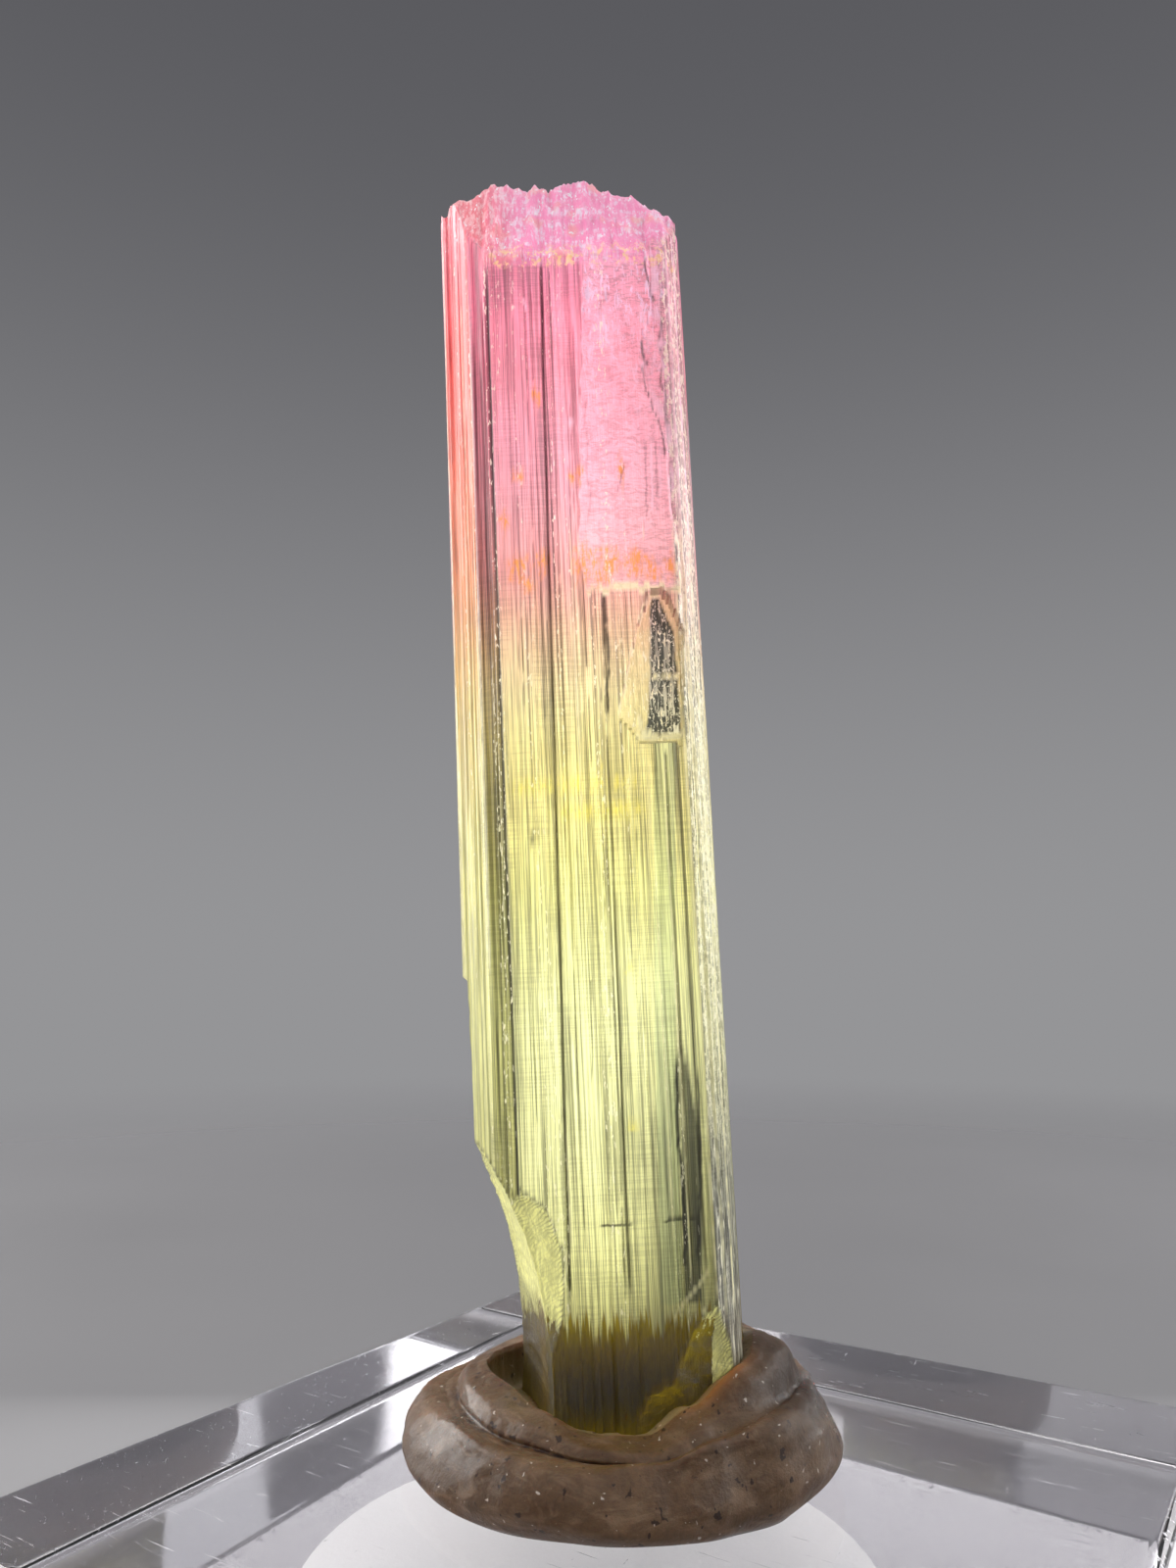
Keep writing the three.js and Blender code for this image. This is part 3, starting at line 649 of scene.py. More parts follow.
class Shader:
    """Adds the nodes of one material and joins them. A name stands for a mesh's named value."""

    def __init__(self, name):
        self.material = bpy.data.materials.new(name)
        self.material.use_nodes = True
        self.tree = self.material.node_tree
        self.tree.nodes.clear()
        at = {0: self.add("TexCoord").outputs["Object"], "Scale": 1 / MM}
        self.place = self.add("VectorMath", at, operation="SCALE").outputs[0]
        self.u, self.v, self.w = self.add("SeparateXYZ", {0: self.place}).outputs

    def add(self, kind, inputs=(), **settings):
        node = self.tree.nodes.new("ShaderNode" + kind)
        for key, value in settings.items():
            setattr(node, key, value)
        for key, value in dict(inputs).items():
            if isinstance(value, str):
                value = self.value(value)
            if isinstance(value, bpy.types.NodeSocket):
                self.tree.links.new(value, node.inputs[key])
            else:
                node.inputs[key].default_value = value
        return node

    def math(self, operation, *parts):
        """Joins two or more values by one operation, from the left."""
        found = parts[0]
        for part in parts[1:]:
            found = self.add("Math", {0: found, 1: part}, operation=operation).outputs[0]
        return found

    def by(self, *parts):
        return self.math("MULTIPLY", *parts)

    def plus(self, *parts):
        return self.math("ADD", *parts)

    def most(self, *parts):
        return self.math("MAXIMUM", *parts)

    def rest(self, share):
        return self.math("SUBTRACT", 1, share)

    def swing(self, value, reach):
        """A noise value, which is about a half, as a shift to either side."""
        return self.by(self.math("SUBTRACT", value, 0.5), reach)

    def value(self, name):
        return self.add("Attribute", attribute_name=name).outputs["Fac"]

    def stretched(self, scale):
        return self.add("VectorMath", {0: self.place, 1: scale}, operation="MULTIPLY").outputs[0]

    def noise(self, scale, detail=3.0, rough=0.55, twist=0.0):
        at = {"Vector": self.stretched(scale), "Scale": 1.0, "Detail": detail,
              "Roughness": rough, "Distortion": twist}
        return self.add("TexNoise", at).outputs[0]

    def fit(self, value, low, high, out_low=0.0, out_high=1.0):
        at = {0: value, 1: low, 2: high, 3: out_low, 4: out_high}
        return self.add("MapRange", at, interpolation_type="SMOOTHSTEP").outputs[0]

    def mix(self, share, a, b, kind="MIX"):
        """Mixes two colours, which may be given as screen values."""
        a, b = [paint(*colour) if isinstance(colour, tuple) else colour for colour in (a, b)]
        node = self.add("Mix", {0: share, 6: a, 7: b}, data_type="RGBA", blend_type=kind)
        return node.outputs[2]

    def blend(self, share, a, b):
        return self.add("Mix", {0: share, 2: a, 3: b}, data_type="FLOAT").outputs[0]

    def lay(self, share, over):
        """Lays one more colour over the piece's colour."""
        self.colour = self.mix(share, self.colour, over)

    def ramp(self, value, stops):
        node = self.add("ValToRGB", {0: value})
        marks = node.color_ramp.elements
        while len(marks) < len(stops):
            marks.new(0.5)
        for mark, (at, colour) in zip(marks, stops):
            mark.position = at
            mark.color = colour
        return node.outputs[0]

    def bump(self, height, strength, distance):
        at = {"Height": height, "Strength": strength, "Distance": distance * MM}
        return self.add("Bump", at).outputs[0]

    def finish(self, inputs):
        shader = self.add("BsdfPrincipled", {"Base Color": self.colour, **inputs})
        self.add("OutputMaterial", {"Surface": shader.outputs[0]})
        return self.material


def paint(red, green, blue):
    """A colour given as 0 to 255 screen values, as linear light."""
    parts = [part / 255 for part in (red, green, blue)]
    parts = [p / 12.92 if p <= 0.04045 else ((p + 0.055) / 1.055) ** 2.4 for p in parts]
    return (*parts, 1.0)


# Colours by height, as 0 to 255 screen values
STONE_COLOURS = [
    (0, 220, 214, 120), (4.4, 244, 242, 160), (8, 248, 248, 176), (12, 246, 246, 174),
    (15.5, 226, 222, 140), (18, 220, 208, 128), (19.8, 214, 202, 132), (21.2, 216, 198, 144),
    (22.8, 214, 176, 138), (24.2, 222, 150, 142), (28, 230, 150, 166), (32, 224, 122, 142),
    (36, 240, 140, 176),
]
# Side facets: partly their own colour, partly painted internal reflections; the right edge's near
# white is partly painted highlight
LEFT_COLOURS = [
    (0, 196, 190, 90), (11.4, 236, 234, 158), (16.7, 238, 230, 146), (20.8, 240, 204, 112),
    (25, 250, 146, 90), (29.3, 255, 98, 70), (32, 255, 64, 50), (36.5, 250, 112, 132),
]
EDGE_COLOURS = [
    (0, 110, 98, 30), (11.4, 150, 148, 66), (15.5, 80, 76, 10), (18, 90, 80, 12),
    (21, 150, 122, 40), (24, 134, 54, 40), (30, 158, 54, 76), (34, 226, 100, 128),
    (36.5, 240, 150, 170),
]
RIGHT_COLOURS = [
    (0, 242, 232, 216), (6.5, 242, 238, 218), (11.4, 246, 242, 196), (16.7, 246, 240, 186),
    (20.8, 254, 244, 200), (24, 244, 226, 200), (27, 228, 190, 176), (31, 244, 176, 180),
    (36.5, 250, 160, 190),
]
# Colours of the dark lines and strokes, which are partly painted shade
DARK_LINE_COLOURS = [(0, 8, 7, 1), (17, 14, 12, 3), (23, 18, 6, 6), (34, 18, 2, 13)]
STONE_LENGTH = 38


def stone_material():
    s = Shader("tourmaline")

    def by_height(level, stops):
        return s.ramp(level, [(h / STONE_LENGTH, paint(*c)) for h, *c in stops])

    def times(colour, shade):
        grey = s.add("CombineXYZ", {0: shade, 1: shade, 2: shade}).outputs[0]
        return s.mix(1, colour, grey, "MULTIPLY")

    streak = s.noise((4.5, 4.5, 0.1), 5, 0.6)
    level = s.math("DIVIDE", s.plus(s.w, s.swing(streak, 2.2)), STONE_LENGTH)
    s.colour = by_height(level, STONE_COLOURS)

    # Side facets, their own colour partly overlaid with painted internal reflections: warm on the
    # far left, dark between, cream brightened as painted highlight at the right edge
    s.lay(s.by("left_flat", 0.95), by_height(level, LEFT_COLOURS))
    s.lay(s.by("left_edge", 0.9), by_height(level, EDGE_COLOURS))
    s.lay(s.by("right_edge", 0.9), by_height(level, RIGHT_COLOURS))
    s.lay(s.by("green", 0.65), (168, 190, 138))
    s.lay(s.by("olive", 0.93), (18, 20, 3))

    # Soft blotches, fine streaks down the length that are partly painted shade where the striations
    # refract the light away, faint lines across it, and painted shade on the right of the lower
    # part
    blotch = s.fit(s.noise((1.1, 1.1, 0.5), 3, 0.6), 0.3, 0.7, 0.8, 1.12)
    lines = s.fit(s.noise((12, 12, 0.08), 3, 0.7), 0.4, 0.5, 0.3, 1.06)
    hair = s.fit(s.noise((26, 26, 0.3), 2, 0.6), 0.42, 0.54, 0.45, 1.16)
    across = s.fit(s.noise((0.6, 0.6, 20), 2, 0.7), 0.4, 0.58, 0.8, 1.07)
    patch = s.fit(s.noise((1.3, 1.3, 0.35), 2, 0.5), 0.46, 0.62)
    ahead = s.fit(s.v, -2.3, -2, 1, 0)
    across = s.blend(s.by(ahead, s.rest(patch)), 1, across)
    shade = s.by(lines, hair)
    shade = s.blend(s.fit(s.w, 23, 28), shade, s.math("POWER", shade, 0.65))
    shade = s.blend("upper", shade, s.math("POWER", shade, 0.3))
    shade = s.blend("left_flat", shade, s.math("POWER", shade, 0.4))
    across = s.blend("upper", across, 1)
    shade = s.by(shade, across, blotch)
    # painted shade: below the height of 13 the colour darkens towards the right
    shaded_side = s.blend(s.fit(s.w, 7, 13, 1, 0), 1, s.fit(s.u, -0.6, 2, 1, 0.46))
    s.colour = times(s.colour, s.by(shade, shaded_side))

    # Wisps and ripples of the upper break, with white fibres near its top
    wisp = s.fit(s.noise((2, 2, 6), 5, 0.7, 1.8), 0.38, 0.6, 0.54, 1.18)
    light = s.mix(0.55, s.colour, (246, 180, 198))
    s.lay("upper", times(light, wisp))
    brush = s.fit(s.noise((6, 6, 1.6), 4, 0.75, 1.2), 0.5, 0.6)
    brush = s.by(brush, "upper", s.fit(s.w, 27, 33, 0.12, 1))
    s.lay(brush, (255, 226, 250))

    # Stains, spots, dark lines that are partly painted shade, pale lines and painted sparkle
    flame = s.fit(s.noise((8, 8, 2.4), 4, 0.75, 0.8), 0.4, 0.56, 0.15, 1)
    s.lay(s.by("orange", flame), (214, 122, 30))
    s.lay(s.by("yellow", 0.6, flame), (236, 216, 30))
    s.lay(s.by("hollow", 0.5), (206, 190, 120))
    s.lay("grey", (8, 10, 8))
    dust = s.fit(s.noise((9, 9, 7), 4, 0.75), 0.56, 0.62)
    scratch = s.fit(s.noise((12, 12, 0.9), 3, 0.7), 0.52, 0.6)
    dust = s.most(dust, s.by(scratch, s.fit(s.w, 19.6, 21.2, 1, 0.2)))
    s.lay(s.by(dust, "grey", 0.8), (244, 246, 236))
    # dark lines and strokes, partly painted shade of the striations and of the flake edges
    s.lay("dark", by_height(level, DARK_LINE_COLOURS))
    # painted sparkle: white glints in thin rows, and glitter over the right edge
    beads = s.fit(s.noise((15, 15, 4), 2, 0.6), 0.6, 0.66)
    rows = s.fit(s.noise((2.6, 2.6, 0.04), 2, 0.5), 0.5, 0.58)
    low = s.fit(s.w, 6.5, 11, 1, 0)
    gaps = s.fit(s.noise((9, 9, 3), 3, 0.7, 0.3), 0.38, 0.5, 0.52, 1)
    gaps = s.blend(low, gaps, s.fit(s.noise((9, 9, 0.3), 3, 0.7), 0.44, 0.54, 0.5, 1))
    s.lay(s.by("right_edge", 0.8), times(s.colour, gaps))
    glitter_grains = s.fit(s.noise((11, 11, 4), 3, 0.7), 0.51, 0.57)
    glitter_grains = s.blend(low, glitter_grains, s.fit(s.noise((10, 10, 0.8), 3, 0.7), 0.56, 0.62))
    painted_sparkle = s.most(s.by(beads, rows), s.by(glitter_grains, "right_edge"))
    s.lay(s.by(painted_sparkle, 0.9), (255, 250, 222))
    high = s.by(s.fit(s.w, 24.5, 26), s.fit(s.u, -2.4, -2))
    s.lay("pale", s.mix(high, (255, 248, 200), (255, 218, 236)))

    # Shell-like breaks, paler than the skin
    feather = s.fit(s.noise((7, 7, 2), 4, 0.7, 0.8), 0.42, 0.62, 0.7, 1.1)
    chipped = s.mix(s.fit(s.w, 18, 24), (255, 252, 158), (255, 196, 208))
    s.lay(s.by("shell", 0.9), times(chipped, feather))
    phase = s.plus(s.by(s.u, 44), s.by(s.w, -48), s.by(s.noise((1.6, 1.6, 1.6), 2), 30))
    barbs = s.by(s.fit(s.math("SINE", phase, 0), 0, 0.7), "lip", 0.75)
    s.lay(barbs, (60, 56, 10))

    # Dark foot with a fibrous upper edge, set lower on the back, which is seen through the front
    fibres = s.noise((7, 7, 0.04), 4, 0.7)
    foot_level = s.plus(s.w, s.swing(fibres, 3.4), s.fit(s.v, -1.5, 3, 0, 1.2))
    foot = s.fit(foot_level, 4.15, 4.4, 1, 0)
    foot = s.by(foot, s.fit("right_edge", 0, 1, 1, 0.25))
    s.lay(foot, times((98, 76, 0), feather))

    # Broken top: bright pink with pale fibres and painted white glitter, and painted gold glints
    # along its lower edge
    front_top = s.by(s.fit(s.w, 33.25, 33.6), s.fit(s.v, -2.9, -2.6, 1, 0))
    ragged = s.plus(s.w, s.swing(s.noise((5, 5, 0.3), 3, 0.6), 4))
    top = s.most("top", s.fit(ragged, 34.2, 36), front_top)
    fleck = s.fit(s.noise((9, 5, 1.2), 4, 0.75), 0.44, 0.62)
    layers = s.fit(s.noise((0.8, 0.8, 3.4), 3, 0.6, 0.6), 0.38, 0.6, 0.15, 1)
    crown = s.mix(s.by(fleck, layers), (255, 134, 190), (255, 230, 250))
    patches = s.fit(s.noise((1.3, 1.3, 0.9), 2, 0.5), 0.5, 0.64, 0, 0.6)
    crown = s.mix(patches, crown, (255, 158, 150))
    warm = s.mix(fleck, (240, 100, 116), (255, 190, 196))
    crown = s.mix(s.fit(s.u, -1, -2.6), crown, warm)
    # painted glitter: white glints over the broken top
    painted_glitter = s.fit(s.noise((8, 8, 2.6), 3, 0.7), 0.6, 0.66)
    crown = s.mix(painted_glitter, crown, (255, 248, 255))
    s.lay(s.by(top, 0.92), crown)
    # painted gold glints along the lower edge of the broken top
    ledge = s.by(s.fit(s.w, 33.2, 33.4), s.fit(s.w, 33.7, 34.3, 1, 0))
    glint = s.fit(s.noise((5, 5, 4), 3, 0.7), 0.52, 0.6)
    glint = s.by(glint, ledge, s.fit(s.u, -2.2, -1.9, 0, 0.85), ahead)
    s.lay(glint, (255, 222, 140))

    # Rough parts scatter light and are less clear
    frost = s.most(
        s.by(top, s.fit(s.v, -1, 1.5, 0.88, 0.35)), s.by("shell", 0.72, s.fit(s.w, 3.8, 4.6)),
        s.by(ahead, s.fit(s.w, 31.4, 33.2, 0, 0.4)), s.fit(s.v, -2, -1, 0, 0.2),
        s.by("left_flat", 0.6), s.by("right_edge", s.blend(low, 0.5, 0.85)),
        s.by(painted_sparkle, 0.4), s.by(brush, 0.8), s.by("dark", 0.75), s.by("pale", 0.6),
    )
    rough = s.plus(s.fit(streak, 0.3, 0.7, 0.29, 0.36), s.by("shell", 0.2))
    ridges = s.noise((22, 22, 0.7), 4, 0.65)
    cross = s.by(s.noise((2.2, 2.2, 13), 3, 0.6), ahead, s.rest("upper"), 0.12)
    loose = s.most(s.by("upper", 1.4), s.by("shell", 1.6))
    dents = s.by(s.noise((3, 3, 5), 4, 0.65, 0.8), loose)
    relief = s.plus(ridges, cross, dents)
    return s.finish({
        "Roughness": rough, "IOR": 1.63, "Transmission Weight": s.rest(frost),
        "Normal": s.bump(relief, 0.6, 0.06), "Coat Weight": 0.15, "Coat Roughness": 0.08,
    })


def base_material():
    s = Shader("clear_acrylic")
    cloud = s.noise((0.5, 0.5, 0.5), 3)
    s.colour = s.mix(cloud, (238, 236, 241), (228, 226, 232))
    x, y = s.math("ABSOLUTE", s.u, 0), s.math("ABSOLUTE", s.v, 0)
    edge = s.fit(s.most(x, y), BASE_HALF - 0.32, BASE_HALF - 0.22)
    rim = s.by(edge, s.fit(s.w, BASE_TOP - 0.32, BASE_TOP - 0.22))
    chips = s.by(rim, s.fit(s.noise((4, 4, 4), 4, 0.75), 0.56, 0.64))
    fine = s.fit(s.noise((0.35, 9, 2), 3, 0.7, 0.3), 0.66, 0.7)
    short = s.fit(s.noise((3, 0.8, 2), 4, 0.75, 0.8), 0.68, 0.72)
    scratch = s.most(fine, short)
    worn = s.most(s.by(chips, 0.8), s.by(scratch, 0.35))
    rough = s.plus(s.fit(cloud, 0.3, 0.7, 0.015, 0.05), s.by(worn, 0.3))
    return s.finish({"Roughness": rough, "IOR": 1.49, "Transmission Weight": s.rest(worn)})


def label_material():
    s = Shader("white_paper")
    fibre = s.noise((9, 9, 9), 5, 0.7)
    s.colour = s.mix(fibre, (238, 237, 234), (250, 250, 248))
    rough = s.fit(fibre, 0.2, 0.8, 0.75, 0.95)
    return s.finish({"Roughness": rough, "Normal": s.bump(fibre, 0.3, 0.05)})


def putty_material():
    s = Shader("grey_putty")
    cloud = s.noise((0.45, 0.45, 0.6), 4, 0.6, 0.6)
    grain = s.noise((9, 9, 9), 5, 0.7)
    s.colour = s.mix(s.fit(cloud, 0.25, 0.75), (64, 44, 26), (92, 69, 46))
    s.lay(s.fit(grain, 0.35, 0.75, 0, 0.5), (54, 37, 26))
    smear = s.fit(s.noise((1, 1, 2.4), 4, 0.7, 1), 0.44, 0.7, 0, 0.3)
    s.lay(smear, (136, 112, 90))
    s.lay(s.by("tint", 0.7), (176, 112, 46))
    s.lay(s.by("inner", 0.5), (150, 132, 96))
    crumbs = s.fit(s.noise((4, 4, 4), 3, 0.6), 0.5, 0.6)
    s.lay(s.by(crumbs, "crease"), (40, 22, 18))
    # painted shade over the putty's right shoulder next to the crystal
    s.lay(s.by("painted_shade", 0.85), (40, 26, 16))
    speck = s.fit(s.noise((4, 4, 3.4), 2, 0.5), 0.66, 0.695)
    s.lay(s.by(speck, 0.9), (30, 14, 8))
    pale = s.fit(s.noise((5.5, 5.5, 5.5), 2, 0.5, 0.5), 0.7, 0.74)
    s.lay(s.by(pale, 0.5), (204, 194, 184))
    relief = s.plus(grain, s.by(s.noise((2, 2, 2), 3), 1.5))
    rough = s.blend("shine", s.fit(cloud, 0.3, 0.7, 0.32, 0.55), 0.16)
    return s.finish({
        "Roughness": rough, "Specular IOR Level": 0.3, "Coat Weight": s.by("shine", 0.7),
        "Coat Roughness": 0.12, "Subsurface Weight": 0.25, "Subsurface Scale": 0.8 * MM,
        "Normal": s.bump(relief, 0.35, 0.08),
    })


def floor_material():
    s = Shader("pale_floor")
    far = s.add("VectorMath", {0: s.place}, operation="LENGTH").outputs["Value"]
    cloud = s.noise((0.02, 0.02, 0.02), 3)
    s.colour = s.mix(cloud, (108, 107, 109), (116, 115, 117))
    rough = s.fit(cloud, 0.3, 0.7, 0.5, 0.6)
    shader = s.add("BsdfPrincipled", {"Base Color": s.colour, "Roughness": rough})
    clear = s.add("BsdfTransparent")
    share = s.fit(far, 60, 185)
    both = s.add("MixShader", {0: share, 1: shader.outputs[0], 2: clear.outputs[0]})
    s.add("OutputMaterial", {"Surface": both.outputs[0]})
    return s.material


# Putty

def putty_rings():
    """Rings of the putty from its underside out, up and in to the lip by the crystal."""
    angle = np.arange(PUTTY_COLUMNS) / PUTTY_COLUMNS * 2 * math.pi - math.pi
    table = np.array(PUTTY_STATIONS + [(180,) + PUTTY_STATIONS[0][1:]])
    degrees = np.degrees(angle)
    after = np.clip(np.searchsorted(table[:, 0], degrees, side="right"), 1, len(table) - 1)
    share = step(degrees, table[after - 1, 0], table[after, 0])[:, None]
    foot, reach, shoulder, lip = (table[after - 1, 1:] * (1 - share) + table[after, 1:] * share).T

    # The section eased through its stations
    section = np.array(PUTTY_SECTION, float)
    fine = np.linspace(0, len(section) - 1, PUTTY_ROWS)
    ends = 2 * section[:1] - section[1:2], 2 * section[-1:] - section[-2:-1]
    padded = np.concatenate([ends[0], section, ends[1]])
    k = np.minimum(fine.astype(int), len(section) - 2)
    t = (fine - k)[:, None]
    a, b, c, d = padded[k], padded[k + 1], padded[k + 2], padded[k + 3]
    bend, twist = 2 * a - 5 * b + 4 * c - d, 3 * b - a - 3 * c + d
    rows = 0.5 * (2 * b + (c - a) * t + bend * t ** 2 + twist * t ** 3)
    rows[:, 2:] = np.clip(rows[:, 2:], 0, 1)
    wave = 1 + PUTTY_WAVE * np.sin(5 * angle[None] + fine[:, None] + 1)
    radius = (foot * rows[:, :1] + reach * rows[:, 1:2]) * wave
    height = shoulder * rows[:, 2:3] + lip * rows[:, 3:]
    x, y = radius * np.cos(angle), radius * np.sin(angle)
    arc = angle[None] * 5.0
    swell = 0.07 * noise(arc / 1.5, height / 0.9, 51) + 0.035 * noise(arc / 0.5, height / 0.4, 52)
    swell = swell + 0.012 * noise(arc / 0.17, height / 0.15, 53)
    folded = 1 - between(degrees, *FRONT_EDGE_DEG, 40, 70)
    crease = (0.14 + 0.10 * noise(arc / 1.1, 3.7, 54)) * folded
    swell = (swell - crease * hump(fine[:, None], CREASE_AT, 0.22)) * step(height, 0, 0.5)
    scale = 1 + swell / np.maximum(radius, 1)
    rings = np.stack([x * scale, y * scale, height + 0.5 * swell], -1)
    return rings + np.array([*PUTTY_CENTRE, BASE_TOP]), angle


def make_putty(stone_place, turn):
    rings, angle = putty_rings()
    columns = np.arange(PUTTY_COLUMNS)
    # The crystal's own outline at a few heights, in the putty's turned frame
    points, _ = stone_arrays()
    lean = np.array(turn.inverted() @ stone_place)
    lip = rings[-1]
    low = points[:STONE_RINGS_IN_PUTTY] @ lean[:3, :3].T + lean[:3, 3]
    centre = np.array([STONE_CENTRE[0] + 0.2, STONE_CENTRE[1] + 0.1])
    bearing = np.arctan2(low[..., 1] - centre[1], low[..., 0] - centre[0])
    reach = np.hypot(low[..., 1] - centre[1], low[..., 0] - centre[0])
    want_bearing = np.arctan2(lip[:, 1] - centre[1], lip[:, 0] - centre[0])
    profile = np.empty((len(low), PUTTY_COLUMNS))
    for r in range(len(low)):
        order = np.argsort(bearing[r])
        profile[r] = np.interp(want_bearing, bearing[r][order], reach[r][order], period=2 * math.pi)
    heights = low[:, :, 2].mean(1)
    gap = np.hypot(*(lip[:, :2] - centre).T) - profile[-1]
    gap = np.mean([np.roll(gap, k) for k in range(-24, 25)], 0)
    degrees = np.degrees(angle)
    sunk = np.maximum(step(gap, 0.25, 1.0), step(np.abs(degrees), 118, 135))
    sunk = sunk * (1 - between(degrees, *RIGHT_SIDE_DEG))
    inner = []
    for share in (0.0, 0.1, 0.3, 0.6, 1.0):
        ring = (lip[:, 2] - sunk - 0.12) * (1 - share) + (BASE_TOP + POCKET_FOOT) * share
        spot = np.clip((ring - heights[0]) / (heights[-1] - heights[0]), 0, 0.999)
        spot = spot * (len(heights) - 1)
        row = spot.astype(int)
        t = spot - row
        far = profile[row, columns] * (1 - t) + profile[row + 1, columns] * t + POCKET_CLEAR
        x = centre[0] + far * np.cos(want_bearing)
        y = centre[1] + far * np.sin(want_bearing)
        inner.append(np.stack([x, y, ring], -1))
    inner = np.array(inner)
    banks = []
    for t in (0.06, 0.16, 0.3, 0.45, 0.6, 0.75, 0.9):
        steep = (1 - (1 - t) ** 3) * (sunk > 0) + t * (sunk <= 0)
        across = t ** (1 + 1.5 * np.minimum(sunk, 1))
        ring = np.empty_like(lip)
        ring[:, :2] = lip[:, :2] * (1 - across[:, None]) + inner[0, :, :2] * across[:, None]
        ring[:, 2] = lip[:, 2] + (inner[0, :, 2] - lip[:, 2]) * steep
        banks.append(ring)
    rings = np.concatenate([rings, banks, inner])
    pocket = [*centre, BASE_TOP + POCKET_MIDDLE]
    every, faces = closed_tube(rings, pocket, [*PUTTY_CENTRE, BASE_TOP])
    level = every[:, 2] - BASE_TOP
    bearing = np.arctan2(every[:, 1] - PUTTY_CENTRE[1], every[:, 0] - PUTTY_CENTRE[0])
    bearing = np.degrees(bearing)
    rows = np.concatenate([np.repeat(np.arange(len(rings)), PUTTY_COLUMNS), [len(rings), 0]])
    values = {
        "crease": hump(rows, 44, 2.6) * (1 - step(bearing, *FRONT_EDGE_DEG)),
        "tint": hump(bearing, -46, 15) * hump(rows, PUTTY_ROWS, 7),
        "shine": np.maximum(
            hump(bearing, -8, 15) * between(level, 0.6, 1.1, 2.2, 2.7),
            0.7 * hump(bearing, -150, 16) * step(level, 0.8, 1.2),
        ),
        "inner": step(rows, PUTTY_ROWS - 2, PUTTY_ROWS + 2),
        # painted shade: the right shoulder by the crystal, from the shoulder up
        "painted_shade": hump(bearing, -22, 26) * step(level, 1.3, 2.3),
    }
    return mesh_piece("putty_lump", every, faces, turn, values=values)


# Base

def make_base():
    """Block with rounded edges. Its underside takes in the face of the label, as glue would."""
    low = LABEL_THICK - GLUE_DEPTH
    mesh = bpy.data.meshes.new("base_block")
    form = bmesh.new()
    bmesh.ops.create_cube(form, size=1.0)
    form.verts.ensure_lookup_table()
    for vert in form.verts:
        vert.co.x *= 2 * BASE_HALF * MM
        vert.co.y *= 2 * BASE_HALF * MM
        vert.co.z = (low + (vert.co.z + 0.5) * (BASE_TOP - low)) * MM
    bmesh.ops.bevel(
        form, geom=form.edges[:], offset=BASE_BEVEL * MM, segments=BEVEL_STEPS, profile=0.5,
        affect="EDGES",
    )
    # Narrow rows of faces round the flat ones keep their shading flat
    wide = [face for face in form.faces if face.calc_area() > (5 * MM) ** 2]
    for margin in (0.12, 0.4):
        bmesh.ops.inset_individual(form, faces=wide, thickness=margin * MM, use_even_offset=True)
    form.to_mesh(mesh)
    form.free()
    mesh.shade_smooth()
    return add_object("base_block", mesh)


# Stage, light and camera

FLOOR_RINGS = (190, 110, 60)
FLOOR_COLUMNS = 96
FLOOR_DROP = 0.02


def make_floor():
    angle = np.arange(FLOOR_COLUMNS) / FLOOR_COLUMNS * 2 * math.pi
    rings = np.array([[[r * math.cos(a), r * math.sin(a), 0] for a in angle] for r in FLOOR_RINGS])
    every = np.concatenate([rings.reshape(-1, 3), [[0, 0, 0]]])
    rows = len(FLOOR_RINGS)
    faces = tube_faces(rows, FLOOR_COLUMNS)
    faces += fan_faces((rows - 1) * FLOOR_COLUMNS, FLOOR_COLUMNS, rows * FLOOR_COLUMNS, True)
    floor = mesh_piece("floor", every, faces)
    floor.location.z = -FLOOR_DROP * MM
    floor.data.materials.append(floor_material())


# name, place, height it faces and size in millimetres, watts, colour. The glow panels are seen
# through the crystal but leave no bright squares on the glossy base.
PANELS = [
    ("glow_near", (-13.2, 20, 43.5), 43.5, (60, 50), 0.0238, (1, 0.99, 0.98)),
    ("glow_low", (-13.2, 20, 11.5), 11.5, (60, 14), 0.0078, (1, 0.99, 0.98)),
    ("glow_behind", (-110, 168, 135), 20, (300, 260), 0.3, (1, 0.99, 0.98)),
    ("side_left", (-190, -30, 90), 20, (180, 170), 0.34, (1, 0.99, 0.98)),
    ("side_right", (180, 60, 90), 20, (180, 170), 0.34, (0.98, 0.99, 1)),
    ("key_front", (10, -200, 120), 20, (120, 120), 0.05, (1, 1, 1)),
    ("glow_left", (-20, -32, 30), 22, (30, 42), 0.014, (1, 0.98, 0.95)),
    ("rim_right", (70, 110, 60), 15, (24, 80), 0.06, (1, 1, 1)),
    ("top", (0, 0, 230), 20, (280, 280), 0.3, (1, 1, 1)),
]


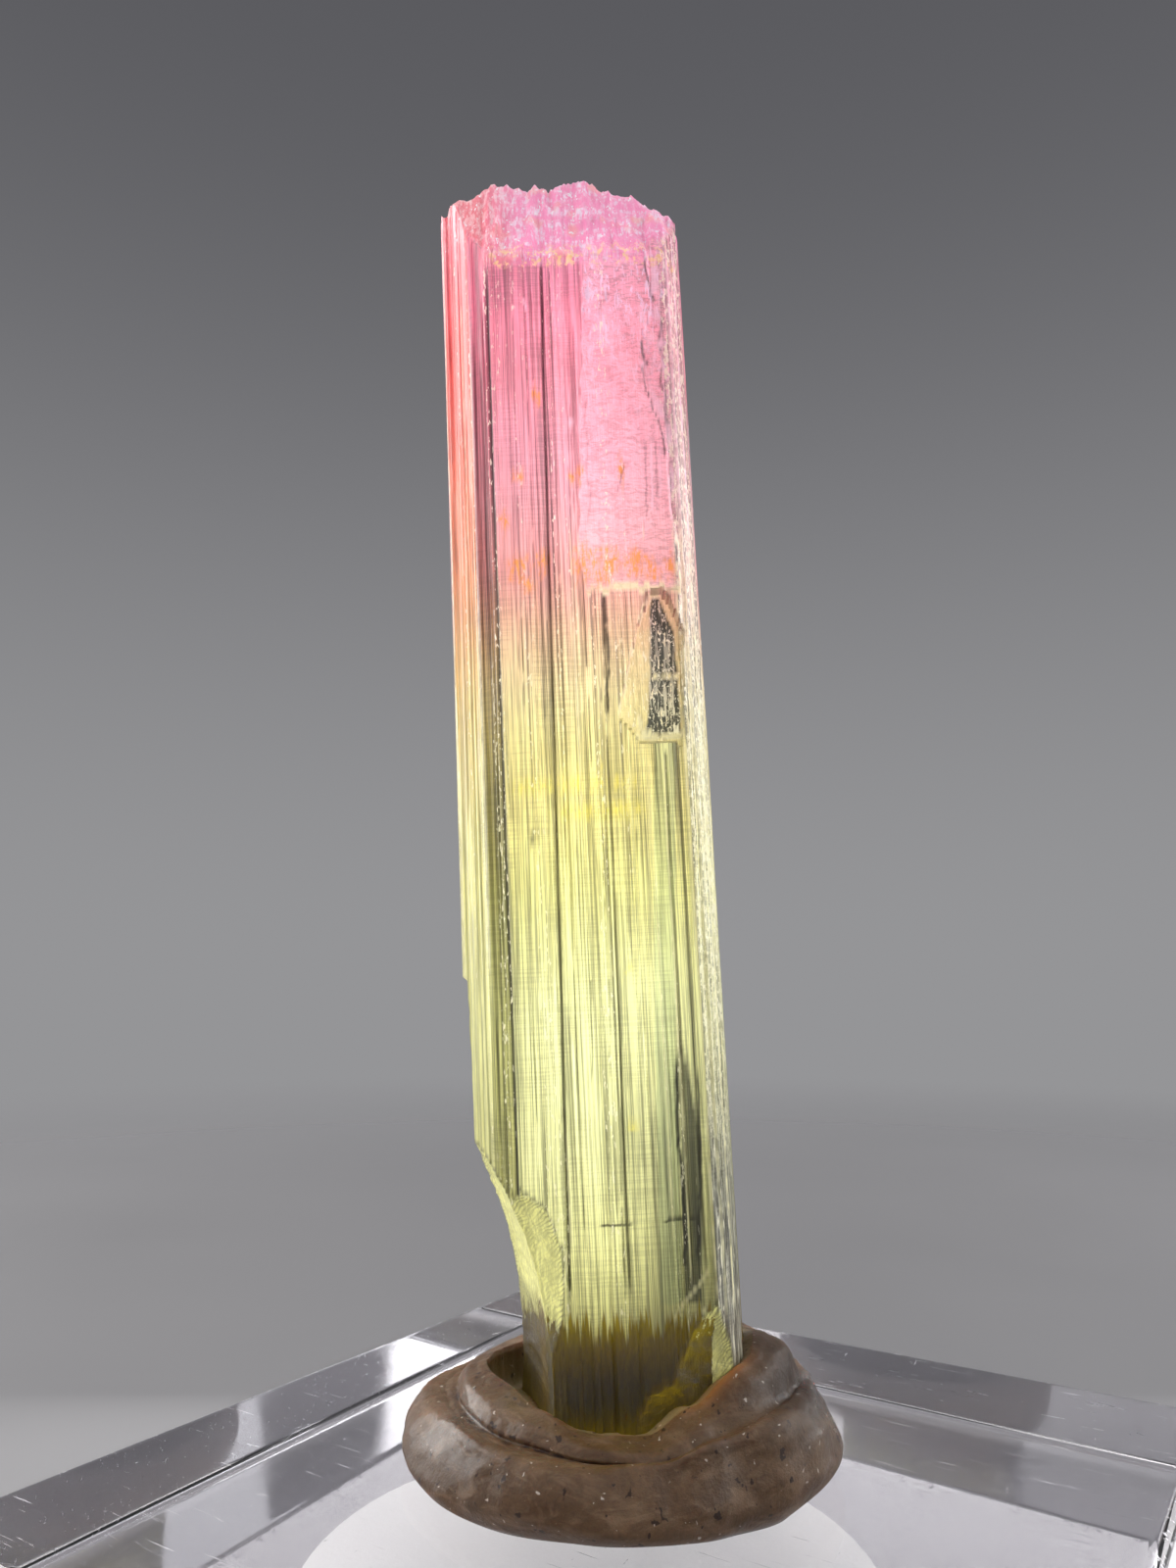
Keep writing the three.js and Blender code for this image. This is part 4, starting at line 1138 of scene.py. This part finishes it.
def make_lights():
    for name, at, facing, size, watts, colour in PANELS:
        data = bpy.data.lights.new(name, "AREA")
        data.shape = "RECTANGLE"
        data.size, data.size_y = size[0] * MM, size[1] * MM
        data.energy = watts
        data.color = colour
        lamp = add_object(name, data)
        lamp.location = Vector(at) * MM
        aim = Vector((0, 0, facing)) * MM
        lamp.rotation_euler = (aim - lamp.location).to_track_quat("-Z", "Y").to_euler()
        lamp.visible_camera = False
        lamp.visible_glossy = not name.startswith("glow")
    world = bpy.data.worlds.new("soft_room")
    world.use_nodes = True
    nodes, links = world.node_tree.nodes, world.node_tree.links
    ground = nodes["Background"]
    ground.inputs["Strength"].default_value = 1.0
    up = nodes.new("ShaderNodeSeparateXYZ")
    links.new(nodes.new("ShaderNodeTexCoord").outputs["Generated"], up.inputs[0])
    ramp = nodes.new("ShaderNodeValToRGB")
    ramp.color_ramp.interpolation = "EASE"
    ramp.color_ramp.elements[0].color = (0.30, 0.30, 0.31, 1)
    ramp.color_ramp.elements[1].position = 0.75
    ramp.color_ramp.elements[1].color = (0.10, 0.10, 0.11, 1)
    links.new(up.outputs[2], ramp.inputs[0])
    links.new(ramp.outputs[0], ground.inputs["Color"])
    bpy.context.scene.world = world


CAMERA_AT = (17.266, -28.586, 19.947)
CAMERA_RISE_DEG = 9.044
CAMERA_LENS = 26.01


def make_camera():
    data = bpy.data.cameras.new("camera")
    data.sensor_width = 36.0
    data.lens = CAMERA_LENS
    data.clip_start, data.clip_end = 0.001, 10.0
    camera = add_object("camera", data)
    camera.location = Vector(CAMERA_AT) * MM
    camera.rotation_euler = (math.radians(90 + CAMERA_RISE_DEG), 0, math.radians(FACING_DEG))
    bpy.context.scene.camera = camera


turn = Matrix.Rotation(math.radians(FACING_DEG), 4, "Z")
lean_by = math.radians(STONE_LEAN_FRONT_DEG), math.radians(-STONE_LEAN_LEFT_DEG), 0
lean = Euler(lean_by, "XYZ").to_matrix().to_4x4()
stand = Matrix.Translation(Vector((*STONE_CENTRE, BASE_TOP + STONE_START)))
in_mm = turn @ stand @ lean
stone_place = in_mm.copy()
stone_place.translation = in_mm.translation * MM

stone = make_stone(stone_place)
stone.data.materials.append(stone_material())
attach(stone, "root")
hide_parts("crystal")

putty = make_putty(in_mm, turn)
putty.data.materials.append(putty_material())
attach(putty, "root")
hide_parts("putty")

block = make_base()
block.data.materials.append(base_material())
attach(block, "root")
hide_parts("base")

label_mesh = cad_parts["label"].data
label_mesh.materials.clear()
label_mesh.materials.append(label_material())

make_floor()
make_lights()
make_camera()
bpy.context.scene.view_settings.view_transform = "Standard"
